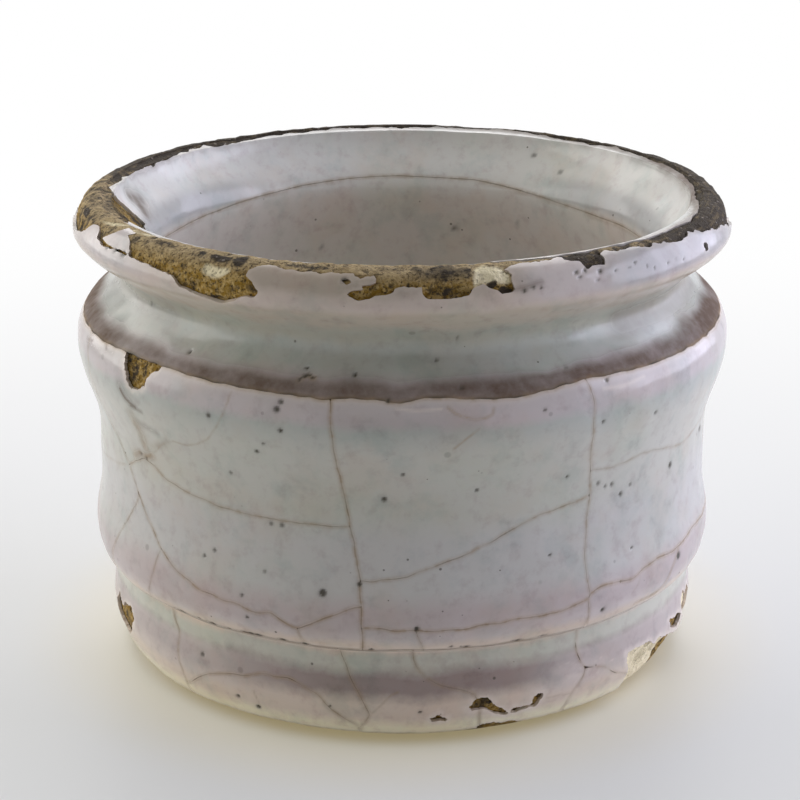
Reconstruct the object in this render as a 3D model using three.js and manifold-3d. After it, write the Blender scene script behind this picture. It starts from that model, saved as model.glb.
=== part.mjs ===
// Ointment jar: a small thrown earthenware pot under a tin glaze that cracks divide into plates.
// Millimetres, +Z up, standing on Z = 0. The front of the jar faces -Y, and angles run from there to +X.
import * as THREE from 'three';
import { mergeVertices } from 'three/addons/utils/BufferGeometryUtils.js';
import Module from 'manifold-3d';

const wasm = await Module();
wasm.setup();

// Driving dimensions: radii of the glazed outside, from the foot up
const BASE_RADIUS = 24.2;
const FOOT_RADIUS = 28.8;
const GROOVE_RADIUS = 28.4;
const BULGE_RADIUS = 30.2;
const WAIST_RADIUS = 29.55;
const SHOULDER_RADIUS = 31.3;
const NECK_RADIUS = 27.3;
const RIM_RADIUS = 31.3;
const CREST_RADIUS = 28.4;

// Heights of the stretches between those radii, stacked from the foot up
const FOOT_ROUND_HEIGHT = 5.9;
const FOOT_WALL_HEIGHT = 4.3;
const BULGE_RISE = 3.3;
const BULGE_FALL = 5.2;
const WAIST_HEIGHT = 5.2;
const SHOULDER_RISE = 8.0;
const SHOULDER_SLOPE = 6.4;
const LIP_UNDERCUT = 4.45;
const LIP_CROWN = 3.25;

// Inside and underside, with the wall measured where the outside is narrowest
const WALL = 3.05;
const NECK_WALL = 3.3;
const MOUTH_ROUND = 1.0;
const MOUTH_DROP = 0.8;
const MOUTH_FLARE = 5.6;
const THROAT_FALL = 8.0;
const FLOOR_THICKNESS = 3.8;
const FLOOR_FILLET = 6.0;
const FOOT_RING_WIDTH = 3.7;
const RECESS_DEPTH = 1.2;
const RECESS_SLOPE = 1.5;

// Coat of glaze
const GLAZE = 0.35;
const BOND_GAP = 0.05;
const CRACK_GAP = 0.3;
const LIP_BARE = 0.9;
const MOUTH_BARE = 0.7;
const FOOT_BARE = 1.3;
const THROAT_CRACK_DROP = 6.4;
const SHOULDER_CRACK_RISE = 2.6;
const BASE_GLAZE_GAP = 0.4;

// The shoulder stays full before it falls to the neck
const SLOPE_SKEW = 1.5;

// Facets: round the jar, along a crack, and over each kind of curve in the outline
const TURN_STEPS = 44;
const CRACK_STEP_DEG = 5;
const ROUND_STEPS = 3;
const SHALLOW_STEPS = 2;
const SWELL_STEPS = 3;
const DEEP_STEPS = 4;

const SKIN = GLAZE + BOND_GAP;
const FULL_TURN = 360;
const SAME_POINT = 1e-6;
const MERGE_DISTANCE = 1e-5;
const MITRE_LIMIT = 0.4;
const CURTAIN_MARGIN = 1;
const CURTAIN_CORE = 8;
const CURTAIN_SHELL = 80;

// Cracks down the belly: angle in degrees, then height as a share of the way from groove to shoulder
const BELLY_DOWN = {
  seamLeft: [[-108, 0], [-106, 0.5], [-109, 1]],
  fork: [[-68, 0], [-62, 0.23], [-59, 0.31], [-55, 0.41], [-58, 0.53], [-64, 0.62], [-66, 1]],
  stem: [[-50, 0], [-48, 0.3]],
  slantEnd: [[-15, 0], [-18, 0.1], [-18, 0.2]],
  centre: [[-7, 0], [-7, 0.26], [-9, 0.5], [-11, 0.76], [-11, 1]],
  tick: [[4, 0], [2, 0.2]],
  right: [[34, 0], [33, 0.25], [34, 0.5], [32, 0.87], [31, 1]],
  seamRight: [[100, 0], [102, 0.5], [99, 1]],
  seamRearRight: [[154, 0], [150, 0.4], [153, 1]],
  seamRearLeft: [[203, 0], [207, 0.6], [204, 1]],
};

// Cracks along the belly, in the same measure
const BELLY_ALONG = {
  groove: [[-120, 0], [270, 0]],
  shoulder: [[-120, 1], [270, 1]],
  slant: [[-56, 0.43], [-55, 0.41], [-49, 0.285], [-44, 0.22], [-35, 0.16], [-25, 0.135], [-18, 0.1],
    [-11, 0.17], [-5, 0.21]],
  leftMiddle: [[-68, 0.62], [-50, 0.56], [-44, 0.53], [-36, 0.51], [-5, 0.5]],
  frontMiddle: [[-10, 0.29], [0, 0.31], [10, 0.39], [20, 0.48], [37, 0.54]],
  hem: [[-10, 0.12], [12, 0.11], [32, 0.14], [38, 0.18], [51, 0.2], [110, 0.19]],
  rightMiddle: [[30, 0.64], [47, 0.65], [62, 0.6], [110, 0.62]],
};

// Cracks on the foot: angle in degrees, then height as a share of the way from table to groove
const FOOT_DOWN = {
  seamLeft: [[-110, 0], [-107, 1]],
  left: [[-46, 0], [-46, 0.6], [-48, 1]],
  frontLeft: [[-9, 0], [-8, 0.21], [-6, 0.43], [-9, 0.7], [-11, 1]],
  front: [[15, 0], [14, 0.4], [13, 0.55], [8, 0.63], [3, 0.78], [2, 1]],
  frontRight: [[31, 0], [33, 0.36], [35, 0.57], [34, 0.7], [34, 1]],
  right: [[50, 0], [48, 0.3], [43, 0.44], [35, 0.57], [34, 0.7], [34, 1]],
  rightHeel: [[50, 0], [48, 0.3], [43, 0.44], [42, 0.5]],
  seamRight: [[105, 0], [103, 1]],
  seamRear: [[178, 0], [181, 1]],
};

// Cracks along the foot, in the same measure
const FOOT_ALONG = {
  table: [[-120, 0], [270, 0]],
  groove: [[-120, 1], [270, 1]],
  wave: [[-50, 0.27], [-42, 0.38], [-38, 0.5], [-23, 0.65], [-15, 0.54], [-11, 0.33], [-5, 0.2]],
  ledge: [[30, 0.66], [35, 0.57], [43, 0.44], [50, 0.25]],
};

// Plates of glaze between those cracks: left, right, lower and upper edge
const BELLY_PLATES = {
  belly_glaze_left: ['seamLeft', 'fork', 'groove', 'shoulder'],
  belly_glaze_left_heel: ['fork', 'stem', 'groove', 'slant'],
  belly_glaze_left_toe: ['stem', 'slantEnd', 'groove', 'slant'],
  belly_glaze_front_left_upper: ['fork', 'centre', 'leftMiddle', 'shoulder'],
  belly_glaze_front_left_middle: ['fork', 'centre', 'slant', 'leftMiddle'],
  belly_glaze_front_left_hem: ['slantEnd', 'centre', 'groove', 'slant'],
  belly_glaze_front_upper: ['centre', 'right', 'frontMiddle', 'shoulder'],
  belly_glaze_front_middle: ['centre', 'right', 'hem', 'frontMiddle'],
  belly_glaze_front_hem_left: ['centre', 'tick', 'groove', 'hem'],
  belly_glaze_front_hem_right: ['tick', 'right', 'groove', 'hem'],
  belly_glaze_right_upper: ['right', 'seamRight', 'rightMiddle', 'shoulder'],
  belly_glaze_right_middle: ['right', 'seamRight', 'hem', 'rightMiddle'],
  belly_glaze_right_hem: ['right', 'seamRight', 'groove', 'hem'],
  belly_glaze_rear_right: ['seamRight', 'seamRearRight', 'groove', 'shoulder'],
  belly_glaze_rear: ['seamRearRight', 'seamRearLeft', 'groove', 'shoulder'],
  belly_glaze_rear_left: ['seamRearLeft', 'seamLeftAgain', 'groove', 'shoulder'],
};
const FOOT_PLATES = {
  foot_glaze_left: ['seamLeft', 'left', 'table', 'groove'],
  foot_glaze_front_left_upper: ['left', 'frontLeft', 'wave', 'groove'],
  foot_glaze_front_left_lower: ['left', 'frontLeft', 'table', 'wave'],
  foot_glaze_front: ['frontLeft', 'front', 'table', 'groove'],
  foot_glaze_front_right: ['front', 'frontRight', 'table', 'groove'],
  foot_glaze_front_right_lower: ['frontRight', 'rightHeel', 'table', 'ledge'],
  foot_glaze_right: ['right', 'seamRight', 'table', 'groove'],
  foot_glaze_rear_right: ['seamRight', 'seamRear', 'table', 'groove'],
  foot_glaze_rear_left: ['seamRear', 'seamLeftAgain', 'table', 'groove'],
};

// Chips: angle in degrees, then millimetres below the crest of the lip
const LIP_CHIPS = [
  [[-100, -2], [-96, 2.6], [-80, 4.1], [-66, 2.6], [-52, 1.9], [-41, 2.3], [-30, 4.0], [-23, 2.7], [-25, 0.9],
    [-21, -2]],
  [[-9, -2], [-9, 1.9], [-7, 2.5], [-4, 2.0], [3, 1.4], [6, 2.4], [11, 2.0], [14, 2.2], [17, 2.0], [16, -2]],
];
const LIP_ISLAND = [[-63, 1.6], [-53, 1.4], [-51, 0.6], [-61, 0.5]];
// Chips on the shoulder: angle in degrees, then millimetres below the crack on the shoulder
const SHOULDER_CHIPS = [
  [[-54, -0.4], [-44, -0.2], [-46, 1.2], [-48, 2.6], [-51, 2.5], [-52, 1.4]],
];
// Chips on the foot: angle in degrees, then millimetres above the table
const FOOT_CHIPS = [
  [[-75, 4.7], [-69, 3.5], [-63, 6.0], [-65, 6.5], [-69, 5.6]],
  [[46, 5.6], [48, 3.1], [53, 2.9], [55, 4.8], [54, 5.4]],
  [[12, 3.9], [20, 2.7], [15, 4.8], [13, 4.8]],
];

// Heights of the landmarks on the glazed outside
const FOOT_Z = FOOT_ROUND_HEIGHT - SKIN;
const GROOVE_Z = FOOT_Z + FOOT_WALL_HEIGHT;
const BULGE_Z = GROOVE_Z + BULGE_RISE;
const WAIST_LOW_Z = BULGE_Z + BULGE_FALL;
const WAIST_HIGH_Z = WAIST_LOW_Z + WAIST_HEIGHT;
const SHOULDER_Z = WAIST_HIGH_Z + SHOULDER_RISE;
const NECK_Z = SHOULDER_Z + SHOULDER_SLOPE;
const RIM_Z = NECK_Z + LIP_UNDERCUT;
const CREST_Z = RIM_Z + LIP_CROWN;
const SHOULDER_CRACK_Z = SHOULDER_Z + SHOULDER_CRACK_RISE;
const CLAY_CREST_Z = CREST_Z - SKIN;
const LIP_EDGE_Z = CLAY_CREST_Z - LIP_BARE;
const MOUTH_EDGE_Z = CLAY_CREST_Z - MOUTH_BARE;
const THROAT_CRACK_Z = CLAY_CREST_Z - THROAT_CRACK_DROP;
const WELL_RADIUS = Math.min(GROOVE_RADIUS, WAIST_RADIUS) - WALL;
const THROAT_RADIUS = NECK_RADIUS - NECK_WALL;
const MOUTH_RADIUS = CREST_RADIUS - MOUTH_ROUND;
const MOUTH_Z = CREST_Z - MOUTH_DROP;
const THROAT_Z = MOUTH_Z - MOUTH_FLARE;
const WELL_TOP_Z = THROAT_Z - THROAT_FALL;
const FLOOR_Z = RECESS_DEPTH + FLOOR_THICKNESS;
const RECESS_RADIUS = BASE_RADIUS - FOOT_RING_WIDTH;

// Radii at which a cutting curtain has its corners: close on both sides of the coat, and far off
const COAT_RADII = [BASE_RADIUS, FOOT_RADIUS, BULGE_RADIUS, SHOULDER_RADIUS, NECK_RADIUS, RIM_RADIUS];
const CURTAIN_RADII = [
  CURTAIN_CORE,
  Math.min(...COAT_RADII) - CURTAIN_MARGIN,
  Math.max(...COAT_RADII) + CURTAIN_MARGIN,
  CURTAIN_SHELL,
];

const clayMaterial = new THREE.MeshStandardMaterial({ color: 0xb08d5f, roughness: 0.9, metalness: 0 });
const glazeMaterial = new THREE.MeshStandardMaterial({ color: 0xd9d8d2, roughness: 0.2, metalness: 0 });

// A stretch of outline that leaves and arrives upright: a half cosine, which a skew over 1 delays
function swell(from, to, steps, skew = 1) {
  return Array.from({ length: steps }, (_, i) => {
    const t = (i + 1) / steps;
    const share = (1 - Math.cos(Math.PI * t ** skew)) / 2;
    return new THREE.Vector2(from.x + (to.x - from.x) * share, from.y + (to.y - from.y) * t);
  });
}

// A quarter ellipse that leaves level and arrives upright
function roundUp(from, to) {
  return Array.from({ length: ROUND_STEPS }, (_, i) => {
    const turn = (Math.PI / 2) * (i + 1) / ROUND_STEPS;
    const share = new THREE.Vector2(Math.sin(turn), 1 - Math.cos(turn));
    return to.clone().sub(from).multiply(share).add(from);
  });
}

// A quarter ellipse that leaves upright and arrives level
function roundOver(from, to) {
  return Array.from({ length: ROUND_STEPS }, (_, i) => {
    const turn = (Math.PI / 2) * (i + 1) / ROUND_STEPS;
    const share = new THREE.Vector2(1 - Math.cos(turn), Math.sin(turn));
    return to.clone().sub(from).multiply(share).add(from);
  });
}

const at = (radius, height) => new THREE.Vector2(radius, height);

// The glazed outside, from the table up to the crest of the lip
function outsideOutline() {
  const table = at(BASE_RADIUS, -SKIN);
  const foot = at(FOOT_RADIUS, FOOT_Z);
  const groove = at(GROOVE_RADIUS, GROOVE_Z);
  const bulge = at(BULGE_RADIUS, BULGE_Z);
  const waistLow = at(WAIST_RADIUS, WAIST_LOW_Z);
  const waistHigh = at(WAIST_RADIUS, WAIST_HIGH_Z);
  const shoulder = at(SHOULDER_RADIUS, SHOULDER_Z);
  const neck = at(NECK_RADIUS, NECK_Z);
  const rim = at(RIM_RADIUS, RIM_Z);
  const crest = at(CREST_RADIUS, CREST_Z);
  return [
    table,
    ...roundUp(table, foot),
    groove,
    ...roundUp(groove, bulge),
    ...swell(bulge, waistLow, SHALLOW_STEPS),
    waistHigh,
    ...swell(waistHigh, shoulder, SWELL_STEPS),
    ...swell(shoulder, neck, DEEP_STEPS, SLOPE_SKEW),
    ...swell(neck, rim, DEEP_STEPS),
    ...roundOver(rim, crest),
  ];
}

// The glazed inside, from the crest of the lip down to the middle of the floor
function insideOutline() {
  const crest = at(CREST_RADIUS, CREST_Z);
  const mouth = at(MOUTH_RADIUS, MOUTH_Z);
  const throat = at(THROAT_RADIUS, THROAT_Z);
  const wellTop = at(WELL_RADIUS, WELL_TOP_Z);
  const wellFoot = at(WELL_RADIUS, FLOOR_Z + FLOOR_FILLET);
  const floor = at(WELL_RADIUS - FLOOR_FILLET, FLOOR_Z);
  return [
    crest,
    ...roundUp(crest, mouth),
    ...swell(mouth, throat, SWELL_STEPS),
    ...swell(throat, wellTop, SHALLOW_STEPS),
    wellFoot,
    ...roundOver(wellFoot, floor),
    at(0, FLOOR_Z),
  ];
}

// The outline moved inwards, square to itself, by the given depth
function sunk(outline, depth) {
  return outline.map((point, i) => {
    const before = outline[Math.max(i - 1, 0)];
    const after = outline[Math.min(i + 1, outline.length - 1)];
    const along = after.clone().sub(before).normalize();
    const moved = at(point.x - along.y * depth, point.y + along.x * depth);
    return point.x === 0 ? at(0, moved.y) : moved;
  });
}

// The stretch of an outline between two places, each a whole number of points plus a share
function stretch(outline, from, to) {
  const place = (where) => {
    const i = Math.min(Math.floor(where), outline.length - 2);
    return outline[i].clone().lerp(outline[i + 1], where - i);
  };
  const inner = outline.filter((_, i) => i > from && i < to);
  return [place(from), ...inner, place(to)];
}

// Where an outline passes a height, counted in points
function whereHeight(outline, height) {
  const i = outline.findIndex((p, k) => k > 0 && (p.y - height) * (outline[k - 1].y - height) <= 0);
  const [low, high] = [outline[i - 1].y, outline[i].y];
  return i - 1 + (height - low) / (high - low);
}

function revolve(outline) {
  const geometry = new THREE.LatheGeometry(outline, TURN_STEPS);
  return geometry.rotateX(Math.PI / 2);
}

// A ring of glaze over a stretch of the glazed surface
function coat(outline, from, to) {
  const face = stretch(outline, from, to);
  const back = stretch(sunk(outline, GLAZE), from, to);
  return revolve([...face, ...back.reverse(), face[0].clone()]);
}

function toSolid(geometry) {
  geometry.deleteAttribute('normal');
  geometry.deleteAttribute('uv');
  const merged = mergeVertices(geometry, MERGE_DISTANCE);
  const corners = merged.index.array;
  const kept = [];
  for (let i = 0; i < corners.length; i += 3) {
    const [a, b, c] = corners.slice(i, i + 3);
    if (a !== b && b !== c && c !== a) {
      kept.push(a, b, c);
    }
  }
  const mesh = new wasm.Mesh({
    numProp: 3,
    vertProperties: merged.attributes.position.array,
    triVerts: new Uint32Array(kept),
  });
  return new wasm.Manifold(mesh);
}

function toGeometry(solid) {
  const mesh = solid.getMesh();
  const geometry = new THREE.BufferGeometry();
  geometry.setAttribute('position', new THREE.BufferAttribute(mesh.vertProperties, 3));
  geometry.setIndex(new THREE.BufferAttribute(mesh.triVerts, 1));
  geometry.computeVertexNormals();
  return geometry;
}

// A solid that stands out from the axis behind a closed outline of angle and height
function curtain(outline) {
  const loop = THREE.ShapeUtils.isClockWise(outline) ? [...outline].reverse() : outline;
  const count = loop.length;
  const positions = [];
  for (const radius of CURTAIN_RADII) {
    for (const point of loop) {
      const turn = THREE.MathUtils.degToRad(point.x);
      positions.push(radius * Math.sin(turn), -radius * Math.cos(turn), point.y);
    }
  }
  const index = [];
  const rings = CURTAIN_RADII.length - 1;
  for (const [a, b, c] of THREE.ShapeUtils.triangulateShape(loop, [])) {
    index.push(a, c, b);
    index.push(...[a, b, c].map((corner) => corner + rings * count));
  }
  for (let i = 0; i < count; i += 1) {
    const next = (i + 1) % count;
    // One diagonal whichever way the edge runs, so that both sides of a crack match
    const forward = loop[i].x < loop[next].x;
    for (let ring = 0; ring < rings; ring += 1) {
      const [a, b] = [ring * count + i, ring * count + next];
      const [c, d] = [a + count, b + count];
      index.push(...(forward ? [a, b, c, b, d, c] : [a, b, d, a, d, c]));
    }
  }
  const geometry = new THREE.BufferGeometry();
  geometry.setAttribute('position', new THREE.Float32BufferAttribute(positions, 3));
  geometry.setIndex(index);
  return toSolid(geometry);
}

// Where two lines first meet, counted in points along each
function crossing(first, second) {
  for (let i = 0; i < first.length - 1; i += 1) {
    for (let k = 0; k < second.length - 1; k += 1) {
      const a = first[i + 1].clone().sub(first[i]);
      const b = second[k + 1].clone().sub(second[k]);
      const between = second[k].clone().sub(first[i]);
      const area = a.cross(b);
      const [s, t] = [between.cross(b) / area, between.cross(a) / area];
      if (Math.min(s, t) >= -SAME_POINT && Math.max(s, t) <= 1 + SAME_POINT) {
        return [i + s, k + t];
      }
    }
  }
  throw new Error('Two cracks that bound a plate do not meet');
}

// The part of a line between two places on it, without its last point
function run(line, from, to) {
  const points = from <= to ? stretch(line, from, to) : stretch(line, to, from).reverse();
  return points.slice(0, -1);
}

// The closed outline between four cracks, anticlockwise as seen from outside
function plateOutline(left, right, low, high) {
  const lowLeft = crossing(low, left);
  const lowRight = crossing(low, right);
  const highRight = crossing(high, right);
  const highLeft = crossing(high, left);
  return [
    ...run(low, lowLeft[0], lowRight[0]),
    ...run(right, lowRight[1], highRight[1]),
    ...run(high, highRight[0], highLeft[0]),
    ...run(left, highLeft[1], lowLeft[1]),
  ];
}

// An outline of angle and height with its long edges divided, so that it follows the round of the jar
function followRound(outline) {
  return outline.flatMap((point, i) => {
    const next = outline[(i + 1) % outline.length];
    const steps = Math.max(1, Math.ceil(Math.abs(next.x - point.x) / CRACK_STEP_DEG));
    return Array.from({ length: steps }, (_, k) => point.clone().lerp(next, k / steps));
  });
}

// An outline of angle and height drawn in all round by half a crack
function drawnIn(outline) {
  const scale = at(THREE.MathUtils.degToRad(WAIST_RADIUS), 1);
  const flat = outline.map((point) => point.clone().multiply(scale));
  const loop = flat.filter((point, i) => point.distanceTo(flat.at(i - 1)) > SAME_POINT);
  return loop.map((point, i) => {
    const [before, after] = [loop.at(i - 1), loop[(i + 1) % loop.length]];
    const [a, b] = [[before, point], [point, after]].map(([from, to]) => {
      const along = to.clone().sub(from).normalize();
      return at(-along.y, along.x);
    });
    const mitre = a.clone().add(b).divideScalar(Math.max(1 + a.dot(b), MITRE_LIMIT));
    return mitre.multiplyScalar(CRACK_GAP / 2).add(point).divide(scale);
  });
}

// Lines of angle and share as points of angle and height between two heights
function placed(lines, from, to) {
  const entries = Object.entries(lines).map(([name, line]) => {
    return [name, line.map(([angle, share]) => at(angle, from + (to - from) * share))];
  });
  return Object.fromEntries(entries);
}

// The cracks of one band of the coat, with its left seam repeated a full turn on
function bandCracks(down, along, from, to) {
  const seamLeftAgain = down.seamLeft.map(([angle, share]) => [angle + FULL_TURN, share]);
  return placed({ ...down, seamLeftAgain, ...along }, from, to);
}

function plates(ring, list, cracks, chips) {
  return Object.entries(list).map(([name, edges]) => {
    const outline = plateOutline(...edges.map((edge) => cracks[edge]));
    let solid = ring.intersect(curtain(followRound(drawnIn(outline))));
    for (const chip of chips) {
      solid = solid.subtract(chip);
    }
    return [name, toGeometry(solid)];
  });
}

// Chips of angle and millimetres, measured up (1) or down (-1) from a height
function chipCurtains(list, height, way) {
  return list.map((chip) => {
    const outline = chip.map(([angle, reach]) => at(angle, height + way * reach));
    return curtain(followRound(outline));
  });
}

const OUTSIDE = outsideOutline();
const INSIDE = insideOutline();

function clayBody() {
  return revolve([
    at(0, RECESS_DEPTH),
    at(RECESS_RADIUS - RECESS_SLOPE, RECESS_DEPTH),
    at(RECESS_RADIUS, 0),
    at(BASE_RADIUS, 0),
    ...sunk(OUTSIDE, SKIN).slice(1, -1),
    at(CREST_RADIUS, CLAY_CREST_Z),
    ...sunk(INSIDE, SKIN).slice(1),
  ]);
}

// A band of the outside's coat between two heights
function outsideBand(low, high) {
  return toSolid(coat(OUTSIDE, whereHeight(OUTSIDE, low), whereHeight(OUTSIDE, high)));
}

function neckGlaze() {
  const low = SHOULDER_CRACK_Z + CRACK_GAP / 2;
  let solid = outsideBand(low, LIP_EDGE_Z);
  const chips = [
    ...chipCurtains(LIP_CHIPS, CLAY_CREST_Z, -1),
    ...chipCurtains(SHOULDER_CHIPS, SHOULDER_CRACK_Z, -1),
  ];
  for (const chip of chips) {
    solid = solid.subtract(chip);
  }
  return toGeometry(solid);
}

function lipGlazeIsland() {
  const [island] = chipCurtains([LIP_ISLAND], CLAY_CREST_Z, -1);
  return toGeometry(outsideBand(RIM_Z, CREST_Z).intersect(island));
}

function bellyPlates() {
  const cracks = bandCracks(BELLY_DOWN, BELLY_ALONG, GROOVE_Z, SHOULDER_CRACK_Z);
  const chips = chipCurtains(SHOULDER_CHIPS, SHOULDER_CRACK_Z, -1);
  return plates(outsideBand(GROOVE_Z, SHOULDER_CRACK_Z), BELLY_PLATES, cracks, chips);
}

function footPlates() {
  const cracks = bandCracks(FOOT_DOWN, FOOT_ALONG, 0, GROOVE_Z);
  const chips = chipCurtains(FOOT_CHIPS, 0, 1);
  return plates(outsideBand(FOOT_BARE, GROOVE_Z), FOOT_PLATES, cracks, chips);
}

function mouthLining() {
  const from = whereHeight(INSIDE, MOUTH_EDGE_Z);
  const to = whereHeight(INSIDE, THROAT_CRACK_Z + CRACK_GAP / 2);
  return coat(INSIDE, from, to);
}

function wellLining() {
  const from = whereHeight(INSIDE, THROAT_CRACK_Z - CRACK_GAP / 2);
  const end = INSIDE.length - 1;
  const back = stretch(sunk(INSIDE, GLAZE), from, end).reverse();
  return revolve([...back, ...stretch(INSIDE, from, end)]);
}

function baseGlaze() {
  const radius = RECESS_RADIUS - RECESS_SLOPE - BASE_GLAZE_GAP;
  const top = RECESS_DEPTH - BOND_GAP;
  return revolve([at(0, top - GLAZE), at(radius - GLAZE, top - GLAZE), at(radius, top), at(0, top)]);
}

const jar = new THREE.Group();
function addPiece(name, geometry, material) {
  const mesh = new THREE.Mesh(geometry, material);
  mesh.name = name;
  jar.add(mesh);
}

addPiece('clay_body', clayBody(), clayMaterial);
const coatPieces = [
  ['neck_glaze', neckGlaze()],
  ['lip_glaze_island', lipGlazeIsland()],
  ...bellyPlates(),
  ...footPlates(),
  ['mouth_lining', mouthLining()],
  ['well_lining', wellLining()],
  ['base_glaze', baseGlaze()],
];
for (const [name, geometry] of coatPieces) {
  addPiece(name, geometry, glazeMaterial);
}

export default jar;
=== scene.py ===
"""Worn tin-glazed ointment jar: a clay body under plates of crazed glaze, and a studio for it."""

from math import radians, tau

import bpy
import numpy as np
from bpy.props import FloatProperty, FloatVectorProperty, PointerProperty
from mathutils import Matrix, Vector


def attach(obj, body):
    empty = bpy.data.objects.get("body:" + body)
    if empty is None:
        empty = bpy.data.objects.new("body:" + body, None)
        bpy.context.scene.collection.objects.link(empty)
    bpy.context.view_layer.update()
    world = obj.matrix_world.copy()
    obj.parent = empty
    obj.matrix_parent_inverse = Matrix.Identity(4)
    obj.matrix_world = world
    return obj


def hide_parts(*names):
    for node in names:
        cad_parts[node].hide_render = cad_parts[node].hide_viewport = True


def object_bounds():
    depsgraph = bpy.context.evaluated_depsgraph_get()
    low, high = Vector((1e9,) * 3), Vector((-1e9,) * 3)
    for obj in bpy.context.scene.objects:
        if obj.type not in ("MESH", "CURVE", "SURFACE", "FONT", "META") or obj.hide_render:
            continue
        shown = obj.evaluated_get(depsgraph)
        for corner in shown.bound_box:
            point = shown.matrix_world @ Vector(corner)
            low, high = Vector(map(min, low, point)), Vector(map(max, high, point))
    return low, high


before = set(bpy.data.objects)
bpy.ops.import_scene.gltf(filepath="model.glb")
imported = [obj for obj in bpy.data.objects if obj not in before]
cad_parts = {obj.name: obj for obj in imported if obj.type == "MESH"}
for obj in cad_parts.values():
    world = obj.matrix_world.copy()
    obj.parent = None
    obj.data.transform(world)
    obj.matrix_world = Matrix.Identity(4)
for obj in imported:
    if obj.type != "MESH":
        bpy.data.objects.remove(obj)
CAD_LOW, CAD_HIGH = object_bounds()

bl_info = {
    "name": "Ointment jar",
    "version": (1, 0, 0),
    "blender": (4, 5, 0),
    "location": "View3D > Sidebar > Jar",
    "description": "Builds a worn tin-glazed ointment jar over its solid model, and a studio for it",
    "category": "Add Mesh",
}

MM = 0.001
FULL_TURN = 360.0
SHARP_ANGLE = radians(38)
# Lengths in mm: step along the outline and width of the mean that rounds it, both for a crack, and its gap
OUTLINE_STEP = 0.02
CORNER_SOFTNESS = 0.35
CRACK_STEP = 0.05
CRACK_SOFTNESS = 0.7
CRACK_GAP = 0.016
# How far a crack wavers for each mm of its waves, and degrees in a mm on the map below
CRACK_WAVER = 0.007
MM_TURN = 1.9
# Radius of the plain map that marks and chips are drawn on, and a length beyond everything on it
MARK_RADIUS = 30.0
FAR = 1e3
# A plate of glaze: least value of its field, reach of a closed pole, play at its back, least thickness
FIELD_FLOOR = 2e-3
POLE_REACH = 2.0
BACK_PLAY = 0.05
THINNEST = 0.06
# Crack in the throat: half its gap, and its stain. Then the stain of an edge that is neither crack nor loose
THROAT_GAP = 0.02
THROAT_STAIN = 0.8
FIRM = 0.01
# How far stain and paleness spread from a crack, paleness from a chip and a loose edge, and dark from a seam
EDGE_FADE = 0.2
PALE_FADE = 0.42
CHIP_FADE = 0.36
LOOSE_FADE = 0.3
SEAM_FADE = 0.16
# Depth of a pit and of a fine line
PIT_DEPTH = 0.10
LINE_DEPTH = 0.02
# Clay: reach of its fine rows about the crest, depth of the bare crest, and least depth below the outline
LIP_REACH = 6.0
LIP_SINK = 0.06
CLAY_SINK = 0.02
# Grid of a plate: play around it in degrees and in mm, and how far round, in degrees, it is finer
ANGLE_PLAY = 2
LENGTH_PLAY = 0.6
FRONT_LIMIT = 75
SIDE_LIMIT = 60
# Angle in degrees below which the crack on the shoulder is read a turn further on
SHOULDER_START = -118
# Studio, in metres: half the floor's width, and the height that the lights point at
FLOOR_REACH = 3.0
LIGHT_AIM = 0.025
WHITE = (1, 1, 1)

# Cracks down the belly: stain, paleness of the edge, then angle in degrees and height in mm
BELLY_DOWN = {
    "seam_left": (0.5, 0, [(-108, 9.8), (-106, 22), (-109, 34.1)]),
    "fork": (0.6, 0, [
        (-68, 9.8), (-65, 13), (-61.9, 15.3), (-59.1, 17.2), (-55.4, 19.4), (-54.7, 20.3), (-58.1, 22.6),
        (-61.1, 24), (-64, 25.4), (-66.6, 27.1), (-67.5, 30), (-68, 34.1),
    ]),
    "stem": (0.5, 0, [
        (-52.5, 9.8), (-51.8, 11), (-50.2, 12.3), (-48.9, 13.9), (-47.7, 15.8), (-46.5, 17.5),
    ]),
    "slant_end": (0.6, 0, [(-15.5, 9.6), (-16.3, 10.2), (-17.4, 11.2), (-17.8, 12), (-18, 13)]),
    "centre": (0.9, 0, [
        (-6.7, 9.8), (-6.7, 12.8), (-6.9, 15), (-7.2, 17.3), (-8.1, 20.3), (-8.8, 22.2), (-9.6, 24.7),
        (-10.3, 27.2), (-10.8, 29.6), (-11.1, 31.7), (-11.4, 34.1),
    ]),
    "tick": (0.5, 0, [(4, 9.8), (3.2, 11.2), (2, 12.8)]),
    "right": (0.75, 0, [
        (34, 9.8), (34, 11), (33.3, 13), (33.8, 13.9), (33.3, 15.4), (33.2, 16.9), (33.4, 19.4),
        (33.5, 21.3), (34.1, 23.5), (33.5, 25.6), (32.5, 27.9), (32, 30.3), (31.9, 32.4), (31.4, 33.9),
        (31, 34.4),
    ]),
    "seam_right": (0.5, 0, [(100, 9.8), (102, 22), (99, 34.1)]),
    "seam_rear_right": (0.6, 0, [(154, 9.8), (150, 19.5), (153, 34.1)]),
    "seam_rear_left": (0.6, 0, [(203, 9.8), (207, 24.4), (204, 34.1)]),
}
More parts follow.
